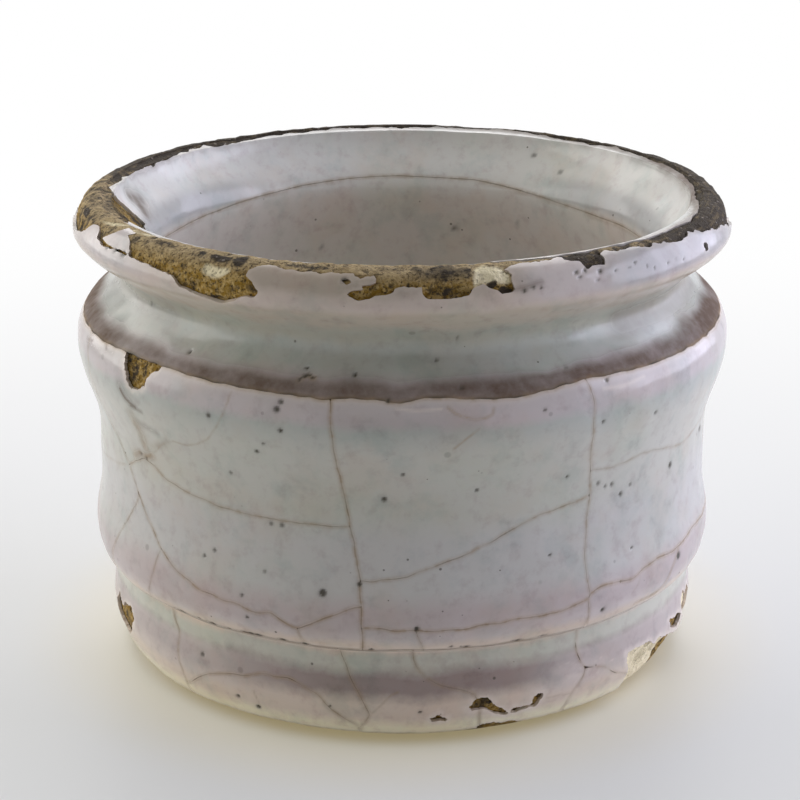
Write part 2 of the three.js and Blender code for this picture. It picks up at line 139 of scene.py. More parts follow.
# Cracks along the belly, in the same measure
BELLY_ALONG = {
    "groove": (0.6, 0.9, [
        (-120, 10.2), (-52, 10.15), (-38, 10.25), (-12, 10.2), (3, 10.15), (18, 10.25), (45, 10.2),
        (270, 10.2),
    ]),
    "shoulder": (1.0, 0.6, [
        (-120, 34.1), (-62, 34.1), (-54, 34.3), (-43, 34.3), (-33, 34.1), (-19, 34), (-11.5, 33.9),
        (-8, 34.1), (-4, 34), (-0.4, 33.8), (1.5, 33.9), (3.4, 34.2), (7, 34.1), (15, 33.8), (19.4, 33.8),
        (22.5, 34), (25, 34.1), (31, 34.4), (45, 34.2), (270, 34.1),
    ]),
    "slant": (0.9, 0, [
        (-58, 21.9), (-54.7, 20.3), (-52, 18.4), (-47.9, 16.4), (-45.1, 15.4), (-41.7, 14.6),
        (-37.5, 13.9), (-33.6, 13.6), (-30, 13.5), (-27, 13.2), (-24.7, 13), (-22.7, 13.3), (-20.8, 12.8),
        (-17.8, 12), (-16.1, 12.6), (-13.1, 13.4), (-10.2, 14.1), (-8, 14.6), (-6.9, 14.7), (-4, 14.8),
    ]),
    "left_middle": (0.75, 0, [
        (-62, 22), (-58.1, 22.6), (-55.9, 23.3), (-52.3, 24.2), (-49.6, 24), (-47.1, 23.3), (-42.1, 22.7),
        (-37.1, 22.4), (-32.6, 22.1), (-28.3, 22), (-18.5, 21.9), (-9.1, 21.9), (-5, 21.9),
    ]),
    "front_middle": (0.75, 0, [
        (-10, 17), (-4.7, 17), (-2.1, 17.2), (0.8, 17.4), (4.5, 18.2), (8.9, 18.9), (11.8, 19.5),
        (14.8, 20.2), (17.9, 20.9), (20.6, 21.6), (23.9, 22.2), (27.9, 22.5), (33.9, 23), (37, 23.1),
    ]),
    "hem": (0.95, 0.2, [
        (-10, 12.7), (-4.1, 12.8), (-1.2, 12.6), (4.5, 12.5), (8.2, 12.4), (11.7, 12.6), (19.2, 12.9),
        (27.2, 12.8), (30.4, 13.2), (33.2, 13.3), (33.9, 13.9), (35.6, 14.3), (40.7, 14.1), (43.8, 13.8),
        (46.7, 14.3), (50.4, 14.7), (57.6, 14.4), (66.6, 15), (73.3, 14.7), (110, 14.4),
    ]),
    "right_middle": (0.5, 0, [
        (30, 25.6), (34.5, 25.5), (38.1, 25.2), (41.8, 25.3), (44.2, 25.6), (48.7, 25.5), (54.2, 24.9),
        (60.1, 24.3), (63.4, 24.5), (75, 25.2), (110, 24.8),
    ]),
}
# Cracks on the foot, in the same measure
FOOT_DOWN = {
    "seam_left": (0.5, 0, [(-110, 0), (-107, 9.8)]),
    "left": (0.7, 0, [
        (-45, 0), (-45.2, 2.8), (-45.4, 4.2), (-46.2, 5.5), (-46.3, 6.7), (-45.8, 7.8), (-47.9, 8.8),
        (-48.3, 9.8),
    ]),
    "front_left": (0.7, 0, [
        (-8.3, 0), (-7.8, 2), (-5.6, 3.6), (-6.7, 4.6), (-8.5, 6.5), (-10.3, 8.5), (-11.2, 9.8),
    ]),
    "front": (0.65, 0, [
        (15, 0), (14, 3.9), (13.6, 4.8), (12.6, 5.6), (10.5, 6.05), (7.2, 6.35), (4.9, 7), (3.1, 7.9),
        (2.1, 8.7), (1.9, 9.8),
    ]),
    "front_right": (0.65, 0, [
        (31, 0), (32.6, 3.5), (33.7, 4.1), (34.9, 4.9), (35.4, 5.75), (34.1, 6.8), (33.3, 8.2),
        (33.7, 9.5), (33.9, 9.8),
    ]),
    "right": (0.5, 0.3, [
        (50, 0), (47.8, 3.2), (45.5, 3.6), (42.8, 4.2), (40.1, 5.3), (37.7, 5.6), (35.3, 5.75),
        (34.1, 6.8), (33.3, 8.2), (33.7, 9.5), (33.9, 9.8),
    ]),
    "right_heel": (0.5, 0.3, [(50, 0), (47.8, 3.2), (45.5, 3.6), (42.8, 4.2), (41, 6)]),
    "seam_right": (0.5, 0, [(105, 0), (103, 9.8)]),
    "seam_rear": (0.6, 0, [(178, 0), (181, 9.8)]),
}
FOOT_ALONG = {
    "table": (0.9, 0.2, [(-120, 1.15), (-30, 1.2), (5, 1.1), (20, 1.4), (40, 1.2), (270, 1.3)]),
    "groove": BELLY_ALONG["groove"],
    "wave": (0.75, 0, [
        (-48, 2.0), (-45.4, 2.7), (-44.3, 2.75), (-41.7, 3.7), (-38.5, 4.7), (-35.1, 5.3), (-29.6, 5.8),
        (-25.3, 6.4), (-21.9, 6.4), (-18.5, 6.1), (-15, 5.2), (-13.2, 4), (-10.5, 3), (-7.8, 2),
        (-5, 1.2),
    ]),
    "ledge": (0.5, 0.3, [
        (30, 6.1), (35.3, 5.75), (37.7, 5.6), (40.1, 5.3), (42.8, 4.2), (45.5, 3.6), (47.8, 3.2),
        (51, 2.4),
    ]),
}
# Plates of glaze between those cracks: left, right, lower and upper edge
BELLY_PLATES = {
    "belly_glaze_left": ("seam_left", "fork", "groove", "shoulder"),
    "belly_glaze_left_heel": ("fork", "stem", "groove", "slant"),
    "belly_glaze_left_toe": ("stem", "slant_end", "groove", "slant"),
    "belly_glaze_front_left_upper": ("fork", "centre", "left_middle", "shoulder"),
    "belly_glaze_front_left_middle": ("fork", "centre", "slant", "left_middle"),
    "belly_glaze_front_left_hem": ("slant_end", "centre", "groove", "slant"),
    "belly_glaze_front_upper": ("centre", "right", "front_middle", "shoulder"),
    "belly_glaze_front_middle": ("centre", "right", "hem", "front_middle"),
    "belly_glaze_front_hem_left": ("centre", "tick", "groove", "hem"),
    "belly_glaze_front_hem_right": ("tick", "right", "groove", "hem"),
    "belly_glaze_right_upper": ("right", "seam_right", "right_middle", "shoulder"),
    "belly_glaze_right_middle": ("right", "seam_right", "hem", "right_middle"),
    "belly_glaze_right_hem": ("right", "seam_right", "groove", "hem"),
    "belly_glaze_rear_right": ("seam_right", "seam_rear_right", "groove", "shoulder"),
    "belly_glaze_rear": ("seam_rear_right", "seam_rear_left", "groove", "shoulder"),
    "belly_glaze_rear_left": ("seam_rear_left", "seam_left_again", "groove", "shoulder"),
}
FOOT_PLATES = {
    "foot_glaze_left": ("seam_left", "left", "table", "groove"),
    "foot_glaze_front_left_upper": ("left", "front_left", "wave", "groove"),
    "foot_glaze_front_left_lower": ("left", "front_left", "table", "wave"),
    "foot_glaze_front": ("front_left", "front", "table", "groove"),
    "foot_glaze_front_right": ("front", "front_right", "table", "groove"),
    "foot_glaze_front_right_lower": ("front_right", "right_heel", "table", "ledge"),
    "foot_glaze_right": ("right", "seam_right", "table", "groove"),
    "foot_glaze_rear_right": ("seam_right", "seam_rear", "table", "groove"),
    "foot_glaze_rear_left": ("seam_rear", "seam_left_again", "table", "groove"),
}
# Upper edge of the glaze on the lip, then of the lining: angle, and length in mm past the crest of the lip,
# which is less than zero on the outside
LIP_EDGE = [
    (-180, -1.2), (-160, -1.0), (-140, -1.6), (-120, -2.2), (-105, -3.2), (-95, -4.0), (-84, -4.2),
    (-76, -3.9), (-71, -3.4), (-68.5, -2.9), (-67.2, -2.1), (-65.8, -1.8), (-64.4, -1.8), (-63.2, -2.1),
    (-62.1, -2.75), (-59.6, -3.06), (-56, -3.0), (-51, -3.1), (-50, -1.3), (-21.7, -1.16), (-19.7, -1.4),
    (-17.2, -1.58), (-14.8, -1.46), (-12.3, -1.58), (-9.1, -1.55), (-6.7, -1.72), (-4.7, -1.8),
    (-3.5, -1.3), (16.5, -1.2), (19.3, -0.8), (22.9, -0.7), (27, -0.55), (34.5, -0.66), (38.8, -1.0),
    (43, -1.18), (47.3, -1.28), (50.4, -1.6), (55.6, -1.9), (57.1, -1.5), (62.6, -2.1), (66.8, -2.5),
    (72.5, -3.05), (80.9, -4.0), (88, -4.7), (98, -4.4), (108, -3.2), (125, -1.8), (150, -1.1),
    (180, -1.2),
]
MOUTH_EDGE = [
    (-180, 0.6), (-166, 0.45), (-157, 0.8), (-148, 0.62), (-142, 1.1), (-137, 1.2), (-132, 0.8),
    (-125, 1.0), (-117, 1.5), (-109, 1.3), (-97, 1.1), (-91, 0.8), (-80, 0.5), (-60, 0.4), (-20, 0.6),
    (12, 0.6), (15.5, 0.0), (20, -0.2), (34, -0.1), (41, -0.1), (51, -0.2), (58, -0.15), (62, -0.5),
    (68, -0.25), (75, 0.4), (83, 1.0), (93, 0.82), (107, 0.6), (118, 0.7), (129, 0.4), (136, 0.7),
    (143, 0.7), (150, 0.35), (165, 0.35), (180, 0.6),
]
# Chips in the glaze of the lip, in the same measure
LIP_CHIPS = [
    [
        (-51, 1), (-50.6, -2.9), (-49.6, -3.16), (-46.7, -3.12), (-42.7, -3.4), (-39.4, -3.6),
        (-37.2, -4.36), (-35.2, -4.75), (-32.2, -5.2), (-29.6, -5.6), (-27.1, -4.95), (-25.7, -4.4),
        (-23.6, -4.26), (-22.3, -3.82), (-23.9, -3), (-25.3, -2.48), (-25, -1.88), (-23.6, -1.44),
        (-21.7, -1.16), (-21.2, 1),
    ],
    [
        (-4.4, 1), (-4.4, -1.75), (-3.9, -1.98), (-4.1, -2.3), (-5.2, -2.45), (-6.3, -2.6), (-6, -2.95),
        (-7.6, -3.05), (-9, -3.3), (-7.9, -3.68), (-6.9, -3.9), (-4.7, -3.62), (-2.8, -3.44),
        (-1.3, -3.18), (-1.1, -2.86), (-0.1, -2.6), (2.9, -2.7), (3, -3.28), (4, -3.62), (6, -3.8),
        (8.8, -3.62), (10.1, -3.48), (10.8, -3.08), (11.3, -2.86), (12.5, -2.6), (13.4, -2.95),
        (14.6, -3.2), (15.4, -3.6), (16.9, -3.5), (17.5, -3.2), (17.2, -2.38), (17.5, -1.92),
        (16.6, -1.4), (15.3, -0.98), (15.3, 1),
    ],
    [
        (27.4, -1.02), (27.5, -0.3), (30.4, 0.1), (31.9, -0.2), (34.3, -0.6), (34.9, -1.56),
        (34.2, -2.14), (31.7, -2.02), (30.7, -2.32), (30, -1.86), (29.8, -1.4),
    ],
    [(60.0, -3.1), (61.2, -3.1), (61.3, -3.85), (60.1, -3.85)],
    [(-9.4, -2.2), (-8.4, -2.0), (-7.8, -2.35), (-8.6, -2.55)],
]
LIP_ISLAND = [
    (-59.9, -2.52), (-58.7, -1.9), (-57.1, -1.2), (-56.3, -0.44), (-53.2, -0.74), (-54, -1.24),
    (-52.7, -1.58), (-51.4, -2.0), (-50.6, -2.82), (-54, -2.84), (-58, -2.86),
]
MOUTH_CHIPS = [
    [
        (-91, 0.4), (-89.2, 1.6), (-91.2, 2.6), (-92.2, 3.6), (-92.7, 4.8), (-93.5, 5.9), (-88, 6.3),
        (-80, 6.2), (-72, 5), (-66, 3), (-62, 1), (-62, 0), (-80, 0),
    ],
]
# Crack round the throat: angle and height inside
THROAT_CRACK = [
    (-180, 40.5), (-154, 40.1), (-129, 39.0), (-112, 38.7), (-90, 38.7), (90, 38.7), (109, 38.7),
    (122, 38.8), (137, 39.2), (147, 39.6), (162, 40.4), (180, 40.5),
]
# Chips in the glaze of shoulder and foot: angle in degrees and height in mm round each. Those of the edge
# go deep into the clay
SHOULDER_CHIPS = [
    [
        (-54, 34.9), (-43.6, 34.6), (-43.8, 34), (-46.1, 33), (-46.6, 32.2), (-48.3, 31.6), (-50.9, 31.4),
        (-51.7, 32.2), (-52.9, 33.5),
    ],
]
FOOT_CHIPS = [
    [
        (5.2, 3.1), (6.1, 3.55), (6.7, 3.45), (7.2, 3.3), (8.1, 3.35), (7.9, 2.75), (6.5, 2.65),
        (5.4, 2.75),
    ],
    [(6.8, 3.8), (7.2, 3.8), (7.3, 3.5), (6.8, 3.5)],
    [
        (11.5, 4.0), (12.3, 4.4), (13, 4.9), (13.6, 4.95), (15.3, 4.9), (16.2, 4.55), (17.1, 3.95),
        (18.6, 3.35), (19.9, 2.8), (19.2, 2.6), (17.2, 2.95), (15.7, 3.55), (14.3, 3.85), (13.2, 3.8),
        (12.5, 3.6),
    ],
    [
        (20, 2.85), (20.6, 3.4), (22.4, 3.4), (24.3, 3.5), (24.3, 4.1), (25.2, 4.5), (26.5, 4.6),
        (26.3, 4.0), (25.8, 3.45), (25.1, 3.05), (22.9, 2.9), (21.2, 2.75),
    ],
    [
        (14.2, 1.55), (15.6, 1.9), (17, 2.05), (18.7, 1.65), (20.5, 1.7), (23.9, 1.2), (27.9, 1.1),
        (27.9, 0.8), (23.5, 0.85), (20.5, 1.25), (18.7, 0.9), (17, 1.1), (15.6, 0.9), (14.2, 1.0),
    ],
    [
        (-77, 5.2), (-74, 6.5), (-71, 5.8), (-68.5, 6.5), (-65, 6.7), (-63.1, 5.8), (-65, 4.4), (-69, 3),
        (-74, 2.6), (-77, 3.4),
    ],
    [(62.1, 6.1), (64.3, 5.75), (67.6, 5.7), (70, 5.2), (69, 4.4), (66.7, 4.3), (63.4, 5)],
    [
        (70.2, 5.6), (70.3, 6.7), (72.2, 7.0), (74, 6.4), (76.5, 6.8), (79, 5.9), (81, 6.1), (83, 4.6),
        (81.5, 3.6), (82, 2.9), (79, 2.4), (77, 3.3), (74.5, 3.3), (73, 4.3), (71.6, 4.5),
    ],
]
EDGE_CHIPS = [
    [
        (46, 5.7), (49.1, 5.6), (51.8, 5.5), (53.9, 5.45), (55.2, 4.9), (57, 4.95), (58.1, 5.15),
        (60, 4.7), (64, 4.3), (68, 3.6), (74, 2.7), (80, 1.9), (80, 0.9), (55, 0.7), (47.4, 0.9),
        (47.6, 3.2),
    ],
]
# Pale patches on lip and foot: clay that broke lately, and flecks of glaze left on the lip
FRESH_LIP = [
    [
        (11.3, -1.3), (13.3, -0.5), (15.3, -0.9), (17.6, -1.9), (17.3, -2.5), (15.5, -2.75), (12.6, -2.5),
        (11.2, -2.9),
    ],
    [
        (-33.9, -2.6), (-33.2, -2.04), (-31.1, -2.26), (-29.2, -2.0), (-28.2, -2.22), (-29.3, -2.84),
        (-31.9, -2.96),
    ],
    [
        (-65.4, -1.2), (-62.6, -0.75), (-60.2, -0.35), (-58, -0.1), (-58.4, -0.45), (-60.6, -0.75),
        (-63, -1.15),
    ],
    [(-55, -0.3), (-52, -0.35), (-49.6, 0.1), (-50, -0.35), (-52.4, -0.65), (-54.6, -0.6)],
]
FRESH_FOOT = [
    [(45, 6), (50, 5.9), (54, 5.8), (58, 5.5), (62, 5.1), (64, 3.8), (62, 0.5), (46, 0.5)],
    [(68, 7.6), (77, 7.6), (88, 7.2), (92, 4), (84, 2.2), (76, 3.2), (71, 4.8)],
    [(34.4, 6.3), (36.2, 6.3), (36.4, 5.5), (34.4, 5.5)],
]
# Dark patches on the bare lip: angle, length past the crest, half their spread in degrees and in mm,
# strength. All are soil but the last, a painted shadow inside the mouth
SOIL_AND_SHADOW_SPOTS = [
    (-35.3, -0.85, 1.1, 0.3, 0.95), (-31.2, -1.1, 2.5, 0.55, 1.1), (-27.5, -1.05, 1.5, 0.85, 1.0),
    (-30.1, -2.45, 0.32, 0.17, 1.1), (-75, -1.7, 2.0, 0.42, 1.2), (6.4, -1.1, 4.9, 1.2, 0.72),
    (7, -3.1, 4.6, 0.6, 0.6), (13.8, -2.72, 0.95, 0.33, 1.1), (16.2, -3.3, 1.3, 0.42, 1.1),
    (31, -1.2, 4.5, 1.5, 1.2), (-24.3, -3.4, 1.4, 0.6, 0.7), (-51.5, -1.4, 1.5, 0.6, 0.7),
    (-61, -2.4, 1.2, 0.8, 0.65), (-15, -0.8, 5.5, 0.35, 0.7), (-30.5, -5.2, 3, 0.35, 0.65),
    (-38, -4.1, 2, 0.3, 0.55), (-45, -0.8, 5, 0.5, 0.6), (-2, -0.7, 3, 0.4, 0.6),
    # Painted shadow: darkens the bare clay inside the mouth beside the strip of lining glaze
    (-78, 3.0, 13, 2.6, 0.85),
]
# How dirty the bare lip is, from clean at 0, by angle
LIP_SOIL = [
    (-180, 1.15), (-125, 1.15), (-110, 0.95), (-97, 0.55), (-85, 0.5), (-72, 0.52), (-60, 0.36),
    (-48, 0.32), (-30, 0.24), (-18, 0.32), (-8, 0.3), (0, 0.3), (8, 0.4), (13, 0.22), (18, 0.22),
    (26, 0.3), (36, 0.6), (46, 0.7), (54, 0.95), (62, 1.15), (90, 1.2), (140, 1.2), (180, 1.15),
]
# Soil over the crack of the shoulder: angle, strength, length in mm where it is full, spread beyond in mm
SHOULDER_SOIL = [
    (-180, 0.8, 0.6, 1.2), (-88, 1.0, 1.8, 1.5), (-72, 0.86, 1.2, 1.3), (-62, 0.8, 0.9, 1.4),
    (-52, 0.72, 0.8, 1.2), (-42, 0.75, 0.7, 1.0), (-28, 0.85, 0.9, 1.0), (-10, 0.82, 0.9, 1.1),
    (8, 0.84, 0.9, 1.1), (20, 0.95, 1.2, 1.0), (32, 0.88, 0.9, 1.0), (42, 0.86, 0.9, 1.0),
    (52, 0.8, 1.1, 1.1), (62, 1.0, 1.6, 1.2), (88, 1.0, 1.5, 1.2), (180, 0.8, 0.6, 1.2),
]
# The same over the edge of the lining
MOUTH_SOIL = [
    (-180, 0.4, 0.2, 0.5), (-100, 0.35, 0.2, 0.5), (-60, 0.15, 0.2, 0.5), (40, 0.3, 0.2, 0.5),
    (60, 0.6, 0.2, 0.7), (80, 0.85, 0.3, 0.9), (110, 0.8, 0.3, 0.8), (140, 0.55, 0.2, 0.5),
    (180, 0.4, 0.2, 0.5),
]
# Cracks that end within a plate: strength, half width in mm, then angle and height
FINE_LINES = [
    (0.55, 0.1, [
        (-28.2, 33.6), (-28.4, 32.9), (-29.3, 31.7), (-30.8, 30.3), (-33.1, 28.8), (-35.7, 28),
        (-38.3, 27.5), (-41.5, 27.5), (-44.8, 26.8), (-47.6, 25.6), (-52.3, 24.2),
    ]),
    (0.6, 0.1, [(-5.6, 3.6), (-3.3, 4.9), (-2.1, 5.6), (-0.7, 6)]),
    (0.5, 0.09, [(12, 6.1), (13.2, 5.2)]),
    (0.45, 0.09, [(27.1, 3.8), (29.8, 3.7), (32.6, 3.5)]),
    (0.5, 0.1, [(-28, 4.4), (-27.4, 3.4), (-27, 2.7)]),
    (1.0, 0.3, [(-17.1, 35.1), (-16.3, 35.4), (-15.6, 35.5), (-14.7, 35.3)]),
    (1.0, 0.45, [(-55.5, 24), (-53.4, 24.5), (-51.2, 24.4), (-49.3, 24.9)]),
    (0.7, 0.8, [(-52, 28.4), (-51.2, 27), (-51, 25.6)]),
    (0.35, 0.5, [(-50, 25.4), (-46.6, 26.3), (-43.4, 27.2)]),
    (0.8, 0.13, [
        (7.1, 33.4), (8.3, 32.85), (9.8, 32.5), (11.4, 32.25), (13, 32.35), (14.1, 32.6), (14.3, 33.1),
    ]),
    (0.75, 0.1, [(8.1, 29.7), (9, 30.15), (10.2, 30.7), (11.9, 31.4)]),
    (1.0, 0.22, [
        (58.6, 14.2), (57.2, 13.4), (56.1, 12.8), (54.9, 11.8), (53.4, 11.2), (51.7, 11), (49, 10.9),
        (45.9, 11),
    ]),
    (0.35, 0.09, [(44, 12.4), (45.6, 13.2), (46.2, 14.2)]),
    (0.4, 0.13, [(-84, 20.3), (-72, 21.2), (-63, 21.9), (-58.5, 22.6)]),
    (0.9, 0.17, [
        (-75, 10.2), (-43, 10.2), (-30, 10.28), (-17, 10.22), (-5, 10.25), (8, 10.2), (20, 10.3),
        (33, 10.2),
    ]),
    (0.6, 0.15, [(33, 10.2), (45, 10.25), (60, 10.2), (80, 10.2)]),
]
# Dark pits and specks on the outside: angle, height, radius in mm, strength
PITS = [
    (-13.4, 15.7, 0.34, 0.9), (2.4, 12.75, 0.22, 1.0), (56.1, 22.9, 0.3, 0.8), (58.6, 13.6, 0.34, 1.0),
    (-19.9, 32.75, 0.3, 0.7), (-19.3, 33.4, 0.24, 0.65), (-32.2, 31.2, 0.24, 0.6),
    (-19.3, 30.9, 0.2, 0.8), (-23.9, 28.5, 0.2, 0.7), (-22.5, 29.4, 0.15, 0.6), (-30, 25.7, 0.2, 0.5),
    (-3, 24.6, 0.25, 0.7), (-22.7, 21.5, 0.22, 0.5), (-20.7, 21.5, 0.24, 0.55), (-34.3, 17.8, 0.2, 0.6),
    (-36.5, 17, 0.17, 0.7), (-24, 16.9, 0.2, 0.4), (-28.1, 14.4, 0.18, 0.6), (-27.1, 12.4, 0.15, 0.7),
    (-39.6, 6.5, 0.25, 0.6), (-31.7, 3.3, 0.22, 0.7), (-27.6, 2.6, 0.26, 0.8), (36.9, 11.8, 0.24, 0.7),
    (41.2, 22.3, 0.22, 0.6), (35.7, 24, 0.22, 0.5), (37.4, 23.5, 0.18, 0.5), (39, 23.5, 0.22, 0.55),
    (43.6, 22.9, 0.2, 0.5), (46.2, 29.7, 0.22, 0.5), (72.8, 23.7, 0.3, 0.7), (-7.9, 35.7, 0.18, 0.8),
    (-39.5, 35.7, 0.17, 0.9), (-55.3, 38, 0.18, 0.7), (5.9, 36.7, 0.22, 0.6), (9.8, 38.2, 0.18, 0.7),
    (-2.2, 34, 0.2, 0.8), (9.6, 34.8, 0.18, 0.6), (0.1, 27.1, 0.14, 0.8), (12.4, 25.3, 0.16, 0.7),
    (28.8, 25.4, 0.15, 0.8), (26.1, 18.2, 0.14, 0.8), (44.4, 16.7, 0.14, 0.7), (28.4, 35.4, 0.14, 0.6),
    (-13, 4.2, 0.14, 0.7), (-7.2, 16.7, 0.22, 0.8), (35, 34, 0.18, 0.6), (33.9, 30.4, 0.18, 0.6),
    (22.8, 32.5, 0.16, 0.6), (3.2, 3.9, 0.15, 0.8), (-9.0, 44.3, 0.25, 0.9), (19, 43.2, 0.2, 0.9),
    (20.5, 43.4, 0.16, 0.8), (21.9, 43.3, 0.14, 0.7), (28.4, 44.1, 0.16, 0.8), (30.1, 44.15, 0.2, 0.7),
    (32.8, 43.9, 0.2, 0.8), (35.8, 43.7, 0.1, 0.6), (38.8, 43.7, 0.12, 0.7), (42.7, 43.5, 0.13, 0.7),
    (44.2, 43.2, 0.13, 0.7), (47.7, 43.3, 0.12, 0.6), (50, 43.35, 0.12, 0.6), (52.2, 43.1, 0.12, 0.6),
    (40.3, 44, 0.16, 0.9), (28.8, 43.7, 0.14, 0.7), (32, 43.3, 0.12, 0.7), (-57.2, 43.57, 0.2, 0.9),
    (-54.5, 43.6, 0.2, 0.9), (-51.8, 43.57, 0.3, 0.9), (-43.1, 10.3, 0.3, 0.9), (-38.8, 10.4, 0.18, 0.8),
    (-35.5, 10.35, 0.25, 0.9), (-32, 10.3, 0.18, 0.8), (-27.4, 10.3, 0.28, 0.95),
    (-26, 10.28, 0.28, 0.95), (-21.1, 10.35, 0.24, 0.9), (-17, 10.3, 0.26, 0.8), (-5.3, 10.35, 0.2, 0.8),
    (8.4, 10.6, 0.16, 0.8), (11.1, 10.35, 0.2, 0.7), (20.4, 10.4, 0.2, 0.8), (25, 10.45, 0.16, 0.7),
    (-17, 35.15, 0.18, 0.75), (-16.3, 35.4, 0.2, 0.9), (-15.7, 35.5, 0.2, 0.9),
    (-14.9, 35.35, 0.18, 0.75), (-16.3, 35.9, 0.17, 0.8), (-53, 24.5, 0.2, 0.4),
    (-51.4, 24.3, 0.18, 0.45),
]
# The same on the inside
INNER_PITS = [
    (148.5, 43.1, 0.3, 0.5), (140, 42, 0.35, 0.4), (166.7, 34.8, 0.35, 0.5), (-160, 33, 0.25, 0.4),
    (150, 36, 0.25, 0.4),
]
# Dark dashes in the groove of the foot: first and last angle, height, half width in mm, strength
DASHES = [
    (-78, 34, 10.2, 0.1, 0.42), (34, 80, 10.2, 0.1, 0.25), (-44.5, -42, 10.34, 0.17, 0.95),
    (-36.4, -35, 10.34, 0.15, 0.9), (-28.8, -25.4, 10.33, 0.18, 1.0), (-21.6, -20.7, 10.36, 0.15, 0.9),
    (-17.4, -16.6, 10.32, 0.14, 0.8), (10.4, 11.4, 10.4, 0.12, 0.6), (19.4, 20.8, 10.42, 0.12, 0.7),
    (24.6, 25.6, 10.45, 0.11, 0.6),
]
# Pale scratches: strength, half width in mm, then angle and height
SCRATCHES = [
    (0.45, 0.07, [(31.2, 5.1), (33.4, 5.8), (35.4, 6.1)]),
    (0.5, 0.06, [(35.2, 5.2), (37.2, 6.0), (39.6, 6.3)]),
    (0.45, 0.07, [(36.6, 5.9), (39.2, 5.7), (42.4, 5.6)]),
    (0.4, 0.06, [(33.0, 4.6), (35.0, 5.3), (36.2, 6.2)]),
    (0.4, 0.06, [(29.8, 6.6), (31.6, 6.8), (33.4, 6.4)]),
    (0.35, 0.06, [(38, 4.9), (40.4, 5.1)]),
    (0.35, 0.55, [(29, 6.2), (34, 6.1), (40, 5.9)]),
    (0.4, 0.3, [(31, 5.5), (35, 5.2)]),
    (0.6, 0.14, [(-1, 33.4), (2, 33.2), (6, 33.3)]),
    (0.5, 0.2, [(34, 33.4), (38, 33.2), (43, 33.5)]),
    (0.6, 0.35, [(46, 10.6), (50, 10.6), (53, 10.8)]),
]
# Brown and grey smears outside, and painted shade in the neck at both sides: strength, half width in mm, then
# angle and height
SMEARS_AND_SHADE = [
    (0.8, 0.28, [(-53.9, 30.9), (-52.6, 30.2), (-51.2, 29.9), (-49.9, 29.7)]),
    (0.55, 0.2, [(-51.5, 29.6), (-48.3, 29.5)]),
    (0.4, 0.7, [(-54, 31.2), (-51.5, 30.1)]),
    (0.3, 0.4, [(-50.9, 28.1), (-45.6, 27.7)]),
    (0.22, 0.5, [(-54.5, 24.1), (-52.2, 24.4), (-50, 24.9)]),
    (0.22, 0.3, [(-46.6, 26.2), (-43.4, 27.2)]),
    (0.55, 0.3, [(-60.6, 34), (-59.8, 33.7)]),
    (0.55, 0.3, [(-69.2, 33.3), (-66.6, 33.5)]),
    (0.3, 0.6, [(-68, 33), (-57.5, 33.7)]),
    (0.14, 0.9, [(-11, 32.3), (0, 32.1), (11, 32.1)]),
    # Painted shade: these two darken the neck groove at both sides under the lip, over some brown soil
    (0.48, 1.7, [(44, 37.6), (58, 37.4), (80, 37.3)]),
    (0.34, 1.6, [(-48, 37.6), (-60, 37.6), (-80, 37.8)]),
    (0.5, 0.22, [(17.5, 43.35), (19.5, 43.5), (22, 43.75)]),
]
# Brown smears inside: angle, height, radius in mm, strength
INNER_SMEARS = [
    (-98.6, 43.1, 1.1, 0.75), (-100.2, 42.7, 1.4, 0.8), (-102, 42.5, 1.3, 0.7), (-99.6, 42.1, 1.3, 0.8),
    (-98.4, 41.6, 0.9, 0.75),
]
# Height in mm and colour of the glaze up the outside. The pale bands at the bottom of the foot, up to 4.7 mm,
# are partly painted light bounced up from the floor
GLAZE_BANDS = [
    (0.0, "ivory_and_floor_light"), (2.0, "ivory_and_floor_light"), (3.2, "blush"), (4.7, "blush"), (6.0, "deep"), (7.2, "deep"),
    (8.4, "celadon"), (9.2, "celadon"), (9.9, "blush"), (10.8, "blush"), (11.6, "lilac"), (12.5, "mauve"),
    (14.2, "mauve"), (16.0, "mist"), (20.5, "mist"), (23.0, "green"), (29.0, "green"), (31.2, "jade"),
    (32.1, "iris"), (33.1, "iris"), (35.0, "iris"), (35.9, "jade"), (37.3, "jade"), (38.2, "moss"),
    (39.0, "moss"), (40.0, "beige"), (41.2, "beige"), (42.2, "petal"), (42.7, "petal"), (43.5, "tan"),
    (45.0, "tan"),
]
# The same down the inside
LINING_BANDS = [(0.0, "depths"), (38.2, "depths"), (40.2, "inside"), (45.2, "inside")]
# Height in mm at the end of both lists, and how far noise shifts their bands
BAND_TOP = 46.0
BAND_SHIFT = 2.2


def length(value, name, description):
    """A length property whose default is given in millimetres."""
    return FloatProperty(name=name, description=description, default=value * MM, unit="LENGTH", precision=5)


def colour(value, name, description):
    """A colour property in linear red, green and blue."""
    return FloatVectorProperty(name=name, description=description, default=value, size=3, min=0, max=1,
                               subtype="COLOR")


